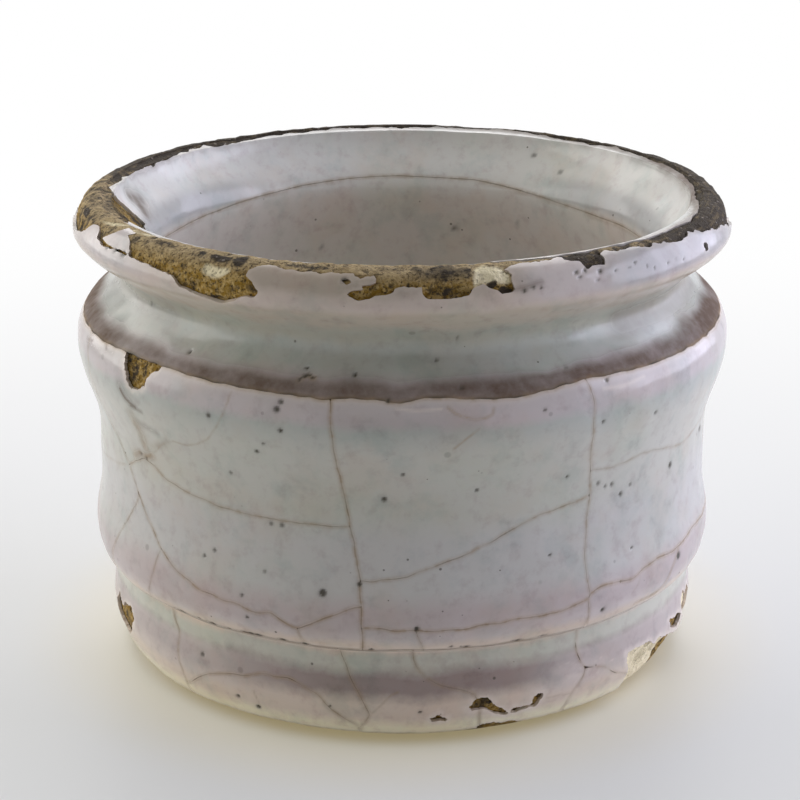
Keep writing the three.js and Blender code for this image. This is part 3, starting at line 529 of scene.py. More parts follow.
class JarForm(bpy.types.PropertyGroup):
    """Radii and heights of the turned outline"""

    base_radius: length(24.2, "Base radius", "Where the outside leaves the table")
    foot_radius: length(28.8, "Foot radius", "Widest radius of the foot")
    groove_radius: length(28.4, "Groove radius", "Crease between foot and belly")
    bulge_radius: length(30.2, "Bulge radius", "Low bulge of the belly")
    waist_radius: length(29.55, "Waist radius", "Narrow middle of the belly")
    shoulder_radius: length(31.3, "Shoulder radius", "Widest radius of the shoulder")
    neck_radius: length(27.3, "Neck radius", "Groove under the lip")
    rim_radius: length(CAD_HIGH.x / MM, "Rim radius", "Widest radius of the lip")
    crest_radius: length(28.4, "Crest radius", "Top of the lip")
    foot_round: length(5.9, "Foot round", "Height of the rounding above the table")
    foot_wall: length(4.3, "Foot wall", "Height from foot to groove")
    bulge_rise: length(3.3, "Bulge rise", "Height from groove to bulge")
    bulge_fall: length(5.2, "Bulge fall", "Height from bulge to waist")
    waist_height: length(5.2, "Waist height", "Height of the straight waist")
    shoulder_rise: length(8.0, "Shoulder rise", "Height from waist to shoulder")
    shoulder_slope: length(6.4, "Shoulder slope", "Height from shoulder to neck")
    lip_undercut: length(4.45, "Lip undercut", "Height from neck to rim")
    lip_crown: length(2.85, "Lip crown", "Height from rim to crest")
    wall: length(3.05, "Wall", "Wall at the narrower of groove and waist")
    neck_wall: length(3.3, "Neck wall", "Wall at the neck")
    mouth_round: length(1.0, "Mouth round", "How far the mouth lies inside the crest")
    mouth_drop: length(0.4, "Mouth drop", "How far the mouth lies below the crest")
    mouth_flare: length(5.6, "Mouth flare", "Height from throat to mouth")
    throat_fall: length(8.0, "Throat fall", "Height from the well's wall to the throat")
    floor_level: length(5.0, "Floor level", "Height of the floor inside")
    floor_fillet: length(6.0, "Floor fillet", "Rounding between wall and floor")
    recess_radius: length(20.5, "Recess radius", "Inner edge of the foot ring")
    recess_depth: length(1.2, "Recess depth", "Hollow under the foot")
    recess_slope: length(1.5, "Recess slope", "Slope at the edge of the hollow")
    glaze: length(0.35, "Glaze", "Thickness of the glaze")
    bond: length(0.05, "Bond", "Gap between glaze and clay")
    fine_step: length(0.17, "Fine step", "Mesh size of plates in front")
    coarse_step: length(0.36, "Coarse step", "Mesh size of plates behind")


class JarColours(bpy.types.PropertyGroup):
    """Colours of glaze, clay and studio"""

    # Partly painted light: pale glaze made paler still for light bounced up from the floor
    ivory_and_floor_light: colour((0.94, 0.875, 0.66), "Ivory glaze", "Thick glaze at the edge of the foot")
    blush: colour((0.73, 0.62, 0.53), "Blush glaze", "Pale pinkish glaze on edges")
    deep: colour((0.345, 0.275, 0.258), "Deep lilac", "Thinnest glaze on the foot")
    mauve: colour((0.545, 0.475, 0.475), "Mauve glaze", "Thin glaze on the bulge")
    lilac: colour((0.625, 0.56, 0.545), "Lilac glaze", "Glaze below the bulge and beside foot and lip")
    petal: colour((0.60, 0.515, 0.465), "Petal glaze", "Glaze of the lip")
    tinge: colour((0.965, 1.0, 0.965), "Green clouds", "What greenish patches leave of the glaze's colour")
    rosy: colour((1.0, 0.955, 0.93), "Rosy clouds", "What warm patches leave of it")
    slate: colour((0.89, 0.91, 0.93), "Slate clouds", "What blue-grey clouds leave of it")
    bruise: colour((0.87, 0.83, 0.84), "Bruises", "What small purple blotches leave of it")
    mist: colour((0.565, 0.555, 0.545), "Misty glaze", "Glaze of the lower belly")
    green: colour((0.56, 0.555, 0.51), "Green glaze", "Thick glaze of the belly")
    celadon: colour((0.59, 0.585, 0.515), "Celadon glaze", "Glaze that pooled in the groove of the foot")
    moss: colour((0.47, 0.465, 0.40), "Moss glaze", "Glaze that pooled under the lip")
    iris: colour((0.555, 0.505, 0.515), "Iris glaze", "Glaze at the shoulder's crack and left of the lip")
    tan: colour((0.47, 0.40, 0.345), "Tan glaze", "Thin glaze at the worn edge of the lip")
    jade: colour((0.48, 0.50, 0.475), "Jade glaze", "Thick glaze of the neck")
    # Painted shade: a darker colour for the right of the lip
    pearl_painted_shade: colour((0.42, 0.40, 0.415), "Pearl glaze", "Glaze at the right of the lip")
    beige: colour((0.54, 0.475, 0.39), "Beige", "Soiled glaze under the lip")
    cream: colour((0.84, 0.75, 0.68), "Cream", "Broken edge of the glaze")
    # Brown also paints the shade in the neck groove at both sides
    brown: colour((0.125, 0.084, 0.062), "Brown band", "Soil that settled on the shoulder")
    stain: colour((0.33, 0.23, 0.135), "Stain", "Dirt in the cracks")
    speck: colour((0.06, 0.05, 0.035), "Specks", "Specks and pits in the glaze")
    inside: colour((0.75, 0.745, 0.73), "Lining", "Glaze inside the mouth")
    # Painted shade: this colour dims the lining above the throat crack at both sides
    throat: colour((0.45, 0.45, 0.455), "Lining near the crack", "Dimmer glaze above the crack in the throat")
    depths: colour((0.67, 0.632, 0.595), "Soiled lining", "Glaze deep inside")
    ochre: colour((0.30, 0.178, 0.024), "Ochre clay", "Bare clay")
    sand: colour((0.52, 0.365, 0.14), "Sandy clay", "Pale grains of the clay")
    ash: colour((0.40, 0.335, 0.245), "Ashen clay", "Bare clay on the crest of the lip")
    dark: colour((0.040, 0.030, 0.021), "Dark clay", "Soiled clay")
    fresh: colour((0.98, 0.88, 0.62), "Fresh clay", "Lately broken clay")
    floor: colour((0.85, 0.85, 0.86), "Floor", "Studio floor")
    veil: colour((0.62, 0.63, 0.64), "Floor veil", "Light that the camera sees in the floor, shade or not")
    # Painted reflection: haze near the jar and glow beside the foot stand for the jar's reflection in the
    # floor
    haze: colour((0.645, 0.605, 0.49), "Floor haze", "The same near the jar")
    glow: colour((0.55, 0.46, 0.26), "Floor glow", "The same beside the foot")
    room: colour((1.0, 0.98, 0.85), "Room", "Light from all round")


class JarStage(bpy.types.PropertyGroup):
    """Camera and lights"""

    lens: FloatProperty(name="Lens", description="Focal length in millimetres", default=98.9, unit="CAMERA")
    distance: length(216.58, "Distance", "From the camera to the point it looks at")
    elevation: FloatProperty(name="Elevation", description="How far the camera looks down",
                             default=radians(18.819), subtype="ANGLE")
    aim_height: length(23.571, "Aim height", "Height that the camera looks at")
    aim_side: length(-0.194, "Aim side", "How far aside the camera looks")
    ambient: FloatProperty(name="Ambient", description="Strength of the light from all round",
                           default=0.175, min=0)
    side_power: FloatProperty(name="Side power", description="Measure of both side lights in watts",
                              default=1.0, min=0)
    back_power: FloatProperty(name="Back power", description="Power of the light behind in watts",
                              default=1.4, min=0)


class Millimetres:
    """Reads the lengths of a property group in millimetres."""

    def __init__(self, group):
        self.group = group

    def __getattr__(self, name):
        return getattr(self.group, name) / MM


def swell(start, end, skew=1.0):
    """Leaves and arrives upright: the radius follows a half cosine of the height, which a skew delays."""
    t = np.linspace(0, 1, 200)
    share = (1 - np.cos(np.pi * t ** skew)) / 2
    return np.column_stack([start[0] + (end[0] - start[0]) * share, start[1] + (end[1] - start[1]) * t])


def round_up(start, end):
    """Quarter ellipse that leaves level and arrives upright."""
    turn = np.linspace(0, np.pi / 2, 120)
    share = np.column_stack([np.sin(turn), 1 - np.cos(turn)])
    return np.array(start) + (np.array(end) - np.array(start)) * share


def round_over(start, end):
    """Quarter ellipse that leaves upright and arrives level."""
    turn = np.linspace(0, np.pi / 2, 120)
    share = np.column_stack([1 - np.cos(turn), np.sin(turn)])
    return np.array(start) + (np.array(end) - np.array(start)) * share


def soften(values, step, width):
    """Running mean of a line of values under a raised cosine of that width."""
    reach = max(int(width / step), 1)
    weight = np.hanning(2 * reach + 3)[1:-1]
    padded = np.pad(values, reach, mode="reflect", reflect_type="odd")
    return np.convolve(padded, weight / weight.sum(), mode="valid")


def grain(points, size, seed, waves=22):
    """Smooth noise about zero: the mean of plane waves of about that size in mm, in seeded directions."""
    rng = np.random.default_rng(seed)
    direction = rng.normal(size=(waves, 3))
    direction /= np.linalg.norm(direction, axis=1)[:, None]
    pitch = rng.uniform(0.6, 1.7, waves) * tau / size
    phase = rng.uniform(0, tau, waves)
    return np.sqrt(2 / waves) * np.sin(points / MM @ (direction * pitch[:, None]).T + phase).sum(axis=1)


def half_turn(angle):
    """The same angle in degrees between minus and plus half a turn."""
    return (angle + FULL_TURN / 2) % FULL_TURN - FULL_TURN / 2


def fade(gap, width):
    """1 up to an edge and a bell curve of the distance beyond it."""
    return np.exp(-(np.maximum(gap, 0) / width) ** 2)


class Outline:
    """The glazed outline by its length in mm, from the middle underneath over the lip to the floor inside."""

    def __init__(self, form):
        f = Millimetres(form)
        skin = f.glaze + f.bond
        foot = (f.foot_radius, f.foot_round - skin)
        groove = (f.groove_radius, foot[1] + f.foot_wall)
        bulge = (f.bulge_radius, groove[1] + f.bulge_rise)
        waist_low = (f.waist_radius, bulge[1] + f.bulge_fall)
        waist_high = (f.waist_radius, waist_low[1] + f.waist_height)
        shoulder = (f.shoulder_radius, waist_high[1] + f.shoulder_rise)
        neck = (f.neck_radius, shoulder[1] + f.shoulder_slope)
        rim = (f.rim_radius, neck[1] + f.lip_undercut)
        crest = (f.crest_radius, rim[1] + f.lip_crown)
        mouth = (crest[0] - f.mouth_round, crest[1] - f.mouth_drop)
        throat = (neck[0] - f.neck_wall, mouth[1] - f.mouth_flare)
        well_radius = min(groove[0], waist_low[0]) - f.wall
        well_top = (well_radius, throat[1] - f.throat_fall)
        well_foot = (well_radius, f.floor_level + f.floor_fillet)
        floor_edge = (well_radius - f.floor_fillet, f.floor_level)
        table = (f.base_radius, -skin)
        under = f.recess_depth - skin
        inward = round_up(crest[::-1], mouth[::-1])[:, ::-1]
        points = np.concatenate([
            [(0, under), (f.recess_radius - f.recess_slope, under), (f.recess_radius, -skin)],
            round_up(table, foot), [groove], round_up(groove, bulge), swell(bulge, waist_low), [waist_high],
            swell(waist_high, shoulder), swell(shoulder, neck, 1.5), swell(neck, rim), round_over(rim, crest),
            inward, swell(mouth, throat), swell(throat, well_top), [well_foot],
            round_over(well_foot, floor_edge), [(0, f.floor_level)],
        ])
        run = np.hypot(*np.diff(points, axis=0).T)
        points = points[np.concatenate([[True], run > 1e-6])]
        run = np.concatenate([[0], np.cumsum(np.hypot(*np.diff(points, axis=0).T))])
        self.s = np.linspace(0, run[-1], int(run[-1] / OUTLINE_STEP))
        self.r, self.z = (soften(np.interp(self.s, run, line), OUTLINE_STEP, CORNER_SOFTNESS)
                          for line in points.T)
        self.r = np.maximum(self.r, 0)
        across, up = np.gradient(self.r), np.gradient(self.z)
        size = np.hypot(across, up)
        self.normal_r, self.normal_z = up / size, -across / size
        self.table = int(np.argmin(np.hypot(self.r - table[0], self.z - table[1])))
        self.top = int(np.argmax(self.z))
        self.end = self.s[-1]
        self.crest = self.s[self.top]
        self.skin = skin

    def radius(self, s):
        """Radius at a length along the outline."""
        return np.interp(s, self.s, self.r)

    def outside(self, height):
        """Length along the outline at a height on the outside."""
        part = slice(self.table, self.top + 1)
        return np.interp(height, self.z[part], self.s[part])

    def inside(self, height):
        """Length along the outline at a height on the inside."""
        part = slice(self.top, len(self.s))
        return np.interp(-np.asarray(height, float), -self.z[part], self.s[part])

    def place(self, angle, s, depth):
        """Points in metres at an angle in degrees from the front, a length and a depth along the normal."""
        radius = np.interp(s, self.s, self.r) + depth * np.interp(s, self.s, self.normal_r)
        height = np.interp(s, self.s, self.z) + depth * np.interp(s, self.s, self.normal_z)
        turn = np.radians(angle)
        return np.column_stack([radius * np.sin(turn), -radius * np.cos(turn), height]) * MM


class Crack:
    """One crack as a wavering line: angle over length if it runs down, length over angle if it runs along."""

    def __init__(self, outline, entry, down, turn=0.0):
        self.stain, self.pale, corners = entry
        angle, height = np.array(corners, float).T
        length_at = outline.outside(height)
        self.down = down
        self.outline = outline
        self.low_angle, self.high_angle = angle.min() + turn, angle.max() + turn
        self.low, self.high = length_at.min(), length_at.max()
        along, across = (length_at, angle + turn) if down else (angle * radians(1) * MARK_RADIUS, length_at)
        order = np.argsort(along)
        self.x = np.arange(along.min(), along.max() + CRACK_STEP, CRACK_STEP)
        line = soften(np.interp(self.x, along[order], across[order]), CRACK_STEP, CRACK_SOFTNESS)
        rng = np.random.default_rng(int(abs(angle).sum() * 10))
        waver = sum(np.sin(self.x * tau / size + rng.uniform(0, tau)) * size
                    for size in rng.uniform(0.7, 3.6, 6)) * CRACK_WAVER
        self.y = line + waver * (MM_TURN if down else 1.0)
        slope = np.gradient(self.y, CRACK_STEP) * (radians(1) * MARK_RADIUS if down else 1.0)
        self.lean = 1 / np.hypot(1, slope)
        width = sum(np.sin(self.x * tau / size + rng.uniform(0, tau)) for size in rng.uniform(0.8, 6, 5))
        self.half = CRACK_GAP / 2 * np.clip(1 + 0.35 * width, 0.25, 2.2)

    def distance(self, angle, s):
        """Signed distance in mm, positive to the right of the crack or above it, and half its gap there."""
        if self.down:
            span = (angle - np.interp(s, self.x, self.y)) * np.radians(1) * self.outline.radius(s)
            key = s
        else:
            key = angle * radians(1) * MARK_RADIUS
            span = s - np.interp(key, self.x, self.y)
        return span * np.interp(key, self.x, self.lean), np.interp(key, self.x, self.half)


def flat(outline, corners):
    """Corners in angle and height as a plain map in mm."""
    angle, height = np.array(corners, float).T
    return np.column_stack([np.radians(angle) * MARK_RADIUS, outline.outside(height)])


def flat_lip(outline, corners):
    """Corners in angle and length past the crest as the same map."""
    angle, past = np.array(corners, float).T
    return np.column_stack([np.radians(angle) * MARK_RADIUS, outline.crest + past])


def line_distance(x, y, corners):
    """Distance in mm from each point of the map to a line of corners."""
    nearest = np.full(x.shape, FAR)
    for (ax, ay), (bx, by) in zip(corners[:-1], corners[1:]):
        dx, dy = bx - ax, by - ay
        share = np.clip(((x - ax) * dx + (y - ay) * dy) / max(dx * dx + dy * dy, 1e-9), 0, 1)
        nearest = np.minimum(nearest, np.hypot(x - ax - share * dx, y - ay - share * dy))
    return nearest


def chip_distance(x, y, corners):
    """Signed distance in mm to a closed ring of corners, negative within it."""
    ring = np.vstack([corners, corners[:1]])
    within = np.zeros(x.shape, bool)
    for (ax, ay), (bx, by) in zip(ring[:-1], ring[1:]):
        crosses = (ay > y) != (by > y)
        reach = ax + (y - ay) * (bx - ax) / (by - ay if by != ay else 1e-9)
        within ^= crosses & (x < reach)
    return np.where(within, -1, 1) * line_distance(x, y, ring)


def strokes(outline, x, y, lines):
    """Lines drawn on the map: the strongest of the bell curves of the distance to each."""
    shade = np.zeros(x.shape)
    for strength, width, corners in lines:
        gap = line_distance(x, y, flat(outline, corners)) / width
        shade = np.maximum(shade, strength * np.exp(-gap ** 2))
    return shade


def depth_within(x, y, rings):
    """How far in mm each point of the map lies within any of some rings, or 0."""
    deepest = np.zeros(x.shape)
    for ring in rings:
        deepest = np.maximum(deepest, -chip_distance(x, y, ring))
    return deepest


def clip(field, wrap):
    """Triangles of a grid where the field is above zero, cut along its zero line.

    Every cell gives two triangles. One that straddles the line keeps the part on the positive side, with new
    corners at the share of the edge where the field, taken as straight, passes zero.
    """
    index = np.arange(field.size).reshape(field.shape)
    here, there = (index, np.roll(index, -1, axis=1)) if wrap else (index[:, :-1], index[:, 1:])
    a, b, c, d = (part.ravel() for part in (here[:-1], there[:-1], here[1:], there[1:]))
    cells = np.concatenate([np.column_stack([a, b, d]), np.column_stack([a, d, c])])
    level = field.ravel()
    level = np.where(np.abs(level) < FIELD_FLOOR, -FIELD_FLOOR, level)
    kept = level[cells] > 0
    total = kept.sum(axis=1)

    def led_by(mask, first):
        order = (first[mask][:, None] + np.arange(3)) % 3
        return np.take_along_axis(cells[mask], order, axis=1)

    lone = led_by(total == 1, np.argmax(kept, axis=1))
    pair = led_by(total == 2, np.argmin(kept, axis=1))
    edges = np.concatenate([lone[:, [0, 1]], lone[:, [0, 2]], pair[:, [1, 0]], pair[:, [2, 0]]])
    edges, number = np.unique(edges, axis=0, return_inverse=True)
    cuts = np.split(number.reshape(-1) + field.size, np.cumsum([len(lone), len(lone), len(pair)]))
    faces = np.concatenate([
        cells[total == 3],
        np.column_stack([lone[:, 0], cuts[0], cuts[1]]),
        np.column_stack([cuts[2], pair[:, 1], pair[:, 2]]),
        np.column_stack([cuts[2], pair[:, 2], cuts[3]]),
    ])
    share = level[edges[:, 0]] / (level[edges[:, 0]] - level[edges[:, 1]])
    return faces, edges, share


def open_edges(faces):
    """Directed edges that only one triangle has."""
    edges = np.concatenate([faces[:, [0, 1]], faces[:, [1, 2]], faces[:, [2, 0]]])
    count = int(faces.max()) + 1
    return edges[~np.isin(edges[:, 0] * count + edges[:, 1], edges[:, 1] * count + edges[:, 0])]


def new_piece(name, points, faces, marks, material):
    """A mesh object at the origin from whole arrays of points, triangles and per-point marks."""
    mesh = bpy.data.meshes.new(name)
    mesh.vertices.add(len(points))
    mesh.vertices.foreach_set("co", points.astype(np.float32).ravel())
    mesh.loops.add(faces.size)
    mesh.loops.foreach_set("vertex_index", faces.astype(np.int32).ravel())
    mesh.polygons.add(len(faces))
    mesh.polygons.foreach_set("loop_start", np.arange(0, faces.size, 3, dtype=np.int32))
    mesh.update(calc_edges=True)
    mesh.shade_smooth()
    mesh.set_sharp_from_angle(angle=SHARP_ANGLE)
    for key, values in marks.items():
        layer = mesh.attributes.new(key, "FLOAT", "POINT")
        layer.data.foreach_set("value", values.astype(np.float32))
    mesh.materials.append(material)
    piece = bpy.data.objects.new(name, mesh)
    bpy.context.scene.collection.objects.link(piece)
    return piece


def stand_for(piece, node):
    """The piece hangs under the root body and takes the place of a CAD node, which is hidden."""
    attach(piece, "root")
    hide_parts(node)


def swing(points):
    """Unevenness of the thrown wall in mm, shared by clay and glaze."""
    return 0.045 * grain(points, 17, 11) + 0.018 * grain(points, 4.5, 12)


def glaze_piece(node, outline, angles, reaches, field, material, wrap=False, pole=None):
    """A plate of glaze: a grid of angle by outline length, cut where the field ends and closed by a wall.

    The face stands at the outline plus the wall's unevenness, the back one glaze thickness below it. A pole
    is the length along the outline of a point on the axis, where a fan of triangles closes the face.
    """
    angle, s = (grid.ravel() for grid in np.meshgrid(angles, reaches))
    shape = (len(reaches), len(angles))
    faces, edges, share = clip(field(angle, s)["level"].reshape(shape), wrap)
    span = half_turn(angle[edges[:, 1]] - angle[edges[:, 0]])
    angle = np.concatenate([angle, angle[edges[:, 0]] + share * span])
    s = np.concatenate([s, s[edges[:, 0]] + share * (s[edges[:, 1]] - s[edges[:, 0]])])
    used, faces = np.unique(faces, return_inverse=True)
    faces = faces.reshape(-1, 3)
    angle, s = angle[used], s[used]
    if pole is not None:
        ends = open_edges(faces)
        near = np.abs(s - pole) < POLE_REACH
        ends = ends[near[ends[:, 0]] & near[ends[:, 1]]]
        fan = np.column_stack([ends[:, 1], ends[:, 0], np.full(len(ends), len(s))])
        faces = np.concatenate([faces, fan])
        angle, s = np.append(angle, 0), np.append(s, pole)
    marks = field(angle, s)
    points = outline.place(angle, s, 0.0)
    face_depth = np.minimum(swing(points) + marks.pop("depth"), 0.0)
    back_depth = np.minimum(swing(points), face_depth + BACK_PLAY) - outline.skin + BACK_PLAY
    face_depth = np.maximum(face_depth, back_depth + THINNEST)
    marks.pop("level")
    top = outline.place(angle, s, face_depth)
    back = outline.place(angle, s, back_depth)
    count = len(top)
    start, stop = open_edges(faces).T
    walls = np.concatenate([np.column_stack([start, start + count, stop + count]),
                            np.column_stack([start, stop + count, stop])])
    faces = np.concatenate([faces, faces[:, ::-1] + count, walls])
    # Walls turn from the look of the face to that of the back: soiled along a crack, and at a broken edge a
    # lighter brown that is painted shadow at the foot of the wall
    hidden = dict(marks, stain=np.where(marks["stain"] > 0.1, 1.0, 0.35), pale=0.4 * marks["pale"])
    marks = {key: np.append(values, hidden[key]) for key, values in marks.items()}
    piece = new_piece("jar_" + node, np.concatenate([top, back]), faces, marks, material)
    stand_for(piece, node)


def marks_at(outline, angle, s, pits):
    """Painted marks: pits as darkness, smears and painted shade as brown haze, fine lines, and pale
    scratches.

    Lines, smears drawn as lines, dashes and scratches are on the outside.
    """
    x, y = np.radians(angle) * MARK_RADIUS, s
    outer = pits is PITS
    reach = outline.outside if outer else outline.inside
    pit = np.zeros(x.shape)
    for at, height, radius, strength in pits:
        spot = np.hypot(x - radians(at) * MARK_RADIUS, y - reach(height)) / radius
        spot = strength * (1.35 * np.exp(-spot ** 4) + 0.15 * np.exp(-(spot / 2.2) ** 2))
        pit = np.maximum(pit, np.minimum(spot, 1))
    smear = strokes(outline, x, y, SMEARS_AND_SHADE)
    for at, height, radius, strength in [] if outer else INNER_SMEARS:
        spot = np.hypot(x - radians(at) * MARK_RADIUS, y - reach(height)) / radius
        smear = np.maximum(smear, strength * np.exp(-spot ** 2))
    for first, last, height, width, strength in DASHES:
        spot = line_distance(x, y, flat(outline, [(first, height), (last, height)])) / width
        pit = np.maximum(pit, 0.75 * strength * np.exp(-spot ** 2))
        smear = np.maximum(smear, 0.8 * strength * np.exp(-(spot / 1.7) ** 2))
    return pit, smear, strokes(outline, x, y, FINE_LINES), strokes(outline, x, y, SCRATCHES)


def plate_field(outline, edges, chips):
    """Field of one plate: the least distance to its four cracks and its chips, less their gaps.

    Edges are pairs of a crack and the side of it, 1 or -1, that the plate lies on.
    """
    rings = [flat(outline, corners) for corners in chips]

    def field(angle, s):
        level = np.full(angle.shape, FAR)
        stain = np.zeros(angle.shape)
        pale = np.zeros(angle.shape)
        for crack, side in edges:
            span, half = crack.distance(angle, s)
            span = span * side - half
            level = np.minimum(level, span)
            stain = np.maximum(stain, crack.stain * fade(span, EDGE_FADE))
            pale = np.maximum(pale, crack.pale * fade(span, PALE_FADE))
        points = outline.place(angle, s, 0.0)
        rough = 0.06 * grain(points, 1.1, 21) + 0.04 * grain(points, 0.45, 22)
        x = np.radians(angle) * MARK_RADIUS
        for ring in rings:
            gap = chip_distance(x, s, ring) + rough
            level = np.minimum(level, gap)
            pale = np.maximum(pale, 0.75 * fade(gap, CHIP_FADE))
        pit, smear, line, scratch = marks_at(outline, angle, s, PITS)
        depth = -PIT_DEPTH * pit - 0.05 * pale - LINE_DEPTH * line
        pale = np.maximum(pale, scratch)
        stain = np.maximum(stain, line)
        return dict(level=level, depth=depth, stain=stain, pale=pale, pit=pit, smear=smear)

    return field


def ring_field(outline, low, high, rings, low_stain, high_stain, pits, island=None, soil=None):
    """Field of a whole ring of glaze between two edges given by angle, less its chips, or of one island.

    An edge with a stain is a crack, one without is loose and rough. Soil settles over the low edge: full for
    some length, then fading by a bell curve.
    """

    def field(angle, s):
        turn = half_turn(angle)
        points = outline.place(angle, s, 0.0)
        if pits is PITS:
            ragged = 1 + 0.6 * np.clip((turn - 22) / 16, 0, 1) * np.clip((135 - turn) / 20, 0, 1)
            rough = 0.06 * grain(points, 1.6, 31) * ragged + 0.03 * grain(points, 0.6, 32)
        else:
            worn = 1 - 0.5 * np.clip((turn + 60) / 20, 0, 1)
            rough = worn * (0.12 * grain(points, 2.4, 31) + 0.05 * grain(points, 0.9, 32))
        x = np.radians(turn) * MARK_RADIUS
        below = s - low(turn) - rough * (0 if low_stain else 1)
        above = high(turn) - s + rough * (0 if high_stain else 1.1)
        if island is not None:
            above = -chip_distance(x, s, island) + 0.6 * rough
            below = above
        level = np.minimum(below, above)
        stain = np.maximum(low_stain * fade(below, EDGE_FADE), high_stain * fade(above, EDGE_FADE))
        loose = np.full(x.shape, FAR)
        if not low_stain:
            loose = np.minimum(loose, below)
        if not high_stain:
            loose = np.minimum(loose, above)
        for ring in rings:
            gap = chip_distance(x, s, ring) + (0.7 if pits is PITS else 1.6) * rough
            level = np.minimum(level, gap)
            loose = np.minimum(loose, gap)
        pale = 0.3 * fade(loose, LOOSE_FADE)
        pit, smear, line, _ = marks_at(outline, turn, s, pits)
        if soil is not None:
            at, strength, full_length, spread = np.array(soil, float).T
            full = np.interp(turn, at, strength) * (1 + 0.06 * grain(points, 7, 34))
            spread = np.interp(turn, at, spread) * (1 + 0.12 * grain(points, 6, 33))
            full_length = np.interp(turn, at, full_length) * (1 + 0.10 * grain(points, 6, 35))
            reach = np.maximum(below - full_length, 0) / np.maximum(spread, 0.3)
            smear = np.maximum(smear, np.minimum(full, 1) * np.exp(-reach ** 2))
            seam = low_stain * np.clip(0.5 + 0.3 * grain(points, 3, 36), 0, 1)
            pit = np.maximum(pit, seam * fade(below, SEAM_FADE))
        depth = -PIT_DEPTH * pit - 0.07 * pale - LINE_DEPTH * line
        stain = np.maximum(stain, line)
        return dict(level=level, depth=depth, stain=stain, pale=pale, pit=pit, smear=smear)

    return field


def ring_angles(front, back, limit):
    """Angles of a whole turn in degrees, finer in front of a limit than behind it."""
    near = np.arange(-limit, limit, front)
    far = np.linspace(limit, FULL_TURN - limit, int((FULL_TURN - 2 * limit) / back), endpoint=False)
    return np.concatenate([near, far])


def by_angle(outline, table):
    """Length along the outline as a function of angle, from a table of angle and length past the crest."""
    angle, past = np.array(table, float).T
    return lambda turn: outline.crest + np.interp(turn, angle, past)


def level_edge(reach):
    """An edge at one length along the outline, whatever the angle."""
    return lambda turn: turn * 0 + reach


def cracks_of(outline, down, along):
    """All cracks of a table by name, with the left seam once more at the far end of the turn."""
    made = {name: Crack(outline, entry, True) for name, entry in down.items()}
    made["seam_left_again"] = Crack(outline, down["seam_left"], True, FULL_TURN)
    made.update({name: Crack(outline, entry, False) for name, entry in along.items()})
    return made


def build_plates(context, plates, down, along, chips):
    """Every plate of a table, each on a grid that just covers it."""
    form = context.scene.jar_form
    outline = Outline(form)
    cracks = cracks_of(outline, down, along)
    material = glaze_material(context.scene.jar_colours)
    for node, (left, right, low, high) in plates.items():
        left, right, low, high = (cracks[name] for name in (left, right, low, high))
        first, last = left.low_angle - ANGLE_PLAY, right.high_angle + ANGLE_PLAY
        seen = abs((first + last) / 2) < FRONT_LIMIT or first < -SIDE_LIMIT and last < SIDE_LIMIT
        step = (form.fine_step if seen else form.coarse_step) / MM
        angles = np.arange(first, last, np.degrees(step / MARK_RADIUS))
        reaches = np.arange(low.low - LENGTH_PLAY, high.high + LENGTH_PLAY, step)
        field = plate_field(outline, [(left, 1), (right, -1), (low, 1), (high, -1)], chips)
        glaze_piece(node, outline, angles, reaches, field, material)


class Term:
    """A value in a node tree. Arithmetic with other values or numbers adds math nodes."""

    def __init__(self, nodes, socket):
        self.nodes = nodes
        self.socket = socket

    def __add__(self, other):
        return self.nodes.calc("ADD", self, other)

    def __sub__(self, other):
        return self.nodes.calc("SUBTRACT", self, other)

    def __rsub__(self, other):
        return self.nodes.calc("SUBTRACT", other, self)

    def __mul__(self, other):
        return self.nodes.calc("MULTIPLY", self, other)

    def __truediv__(self, other):
        return self.nodes.calc("DIVIDE", self, other)

    def __neg__(self):
        return self * -1.0


def rgba(value):
    """A colour with full alpha, or a term as it is."""
    return value if isinstance(value, Term) else (*value, 1.0)


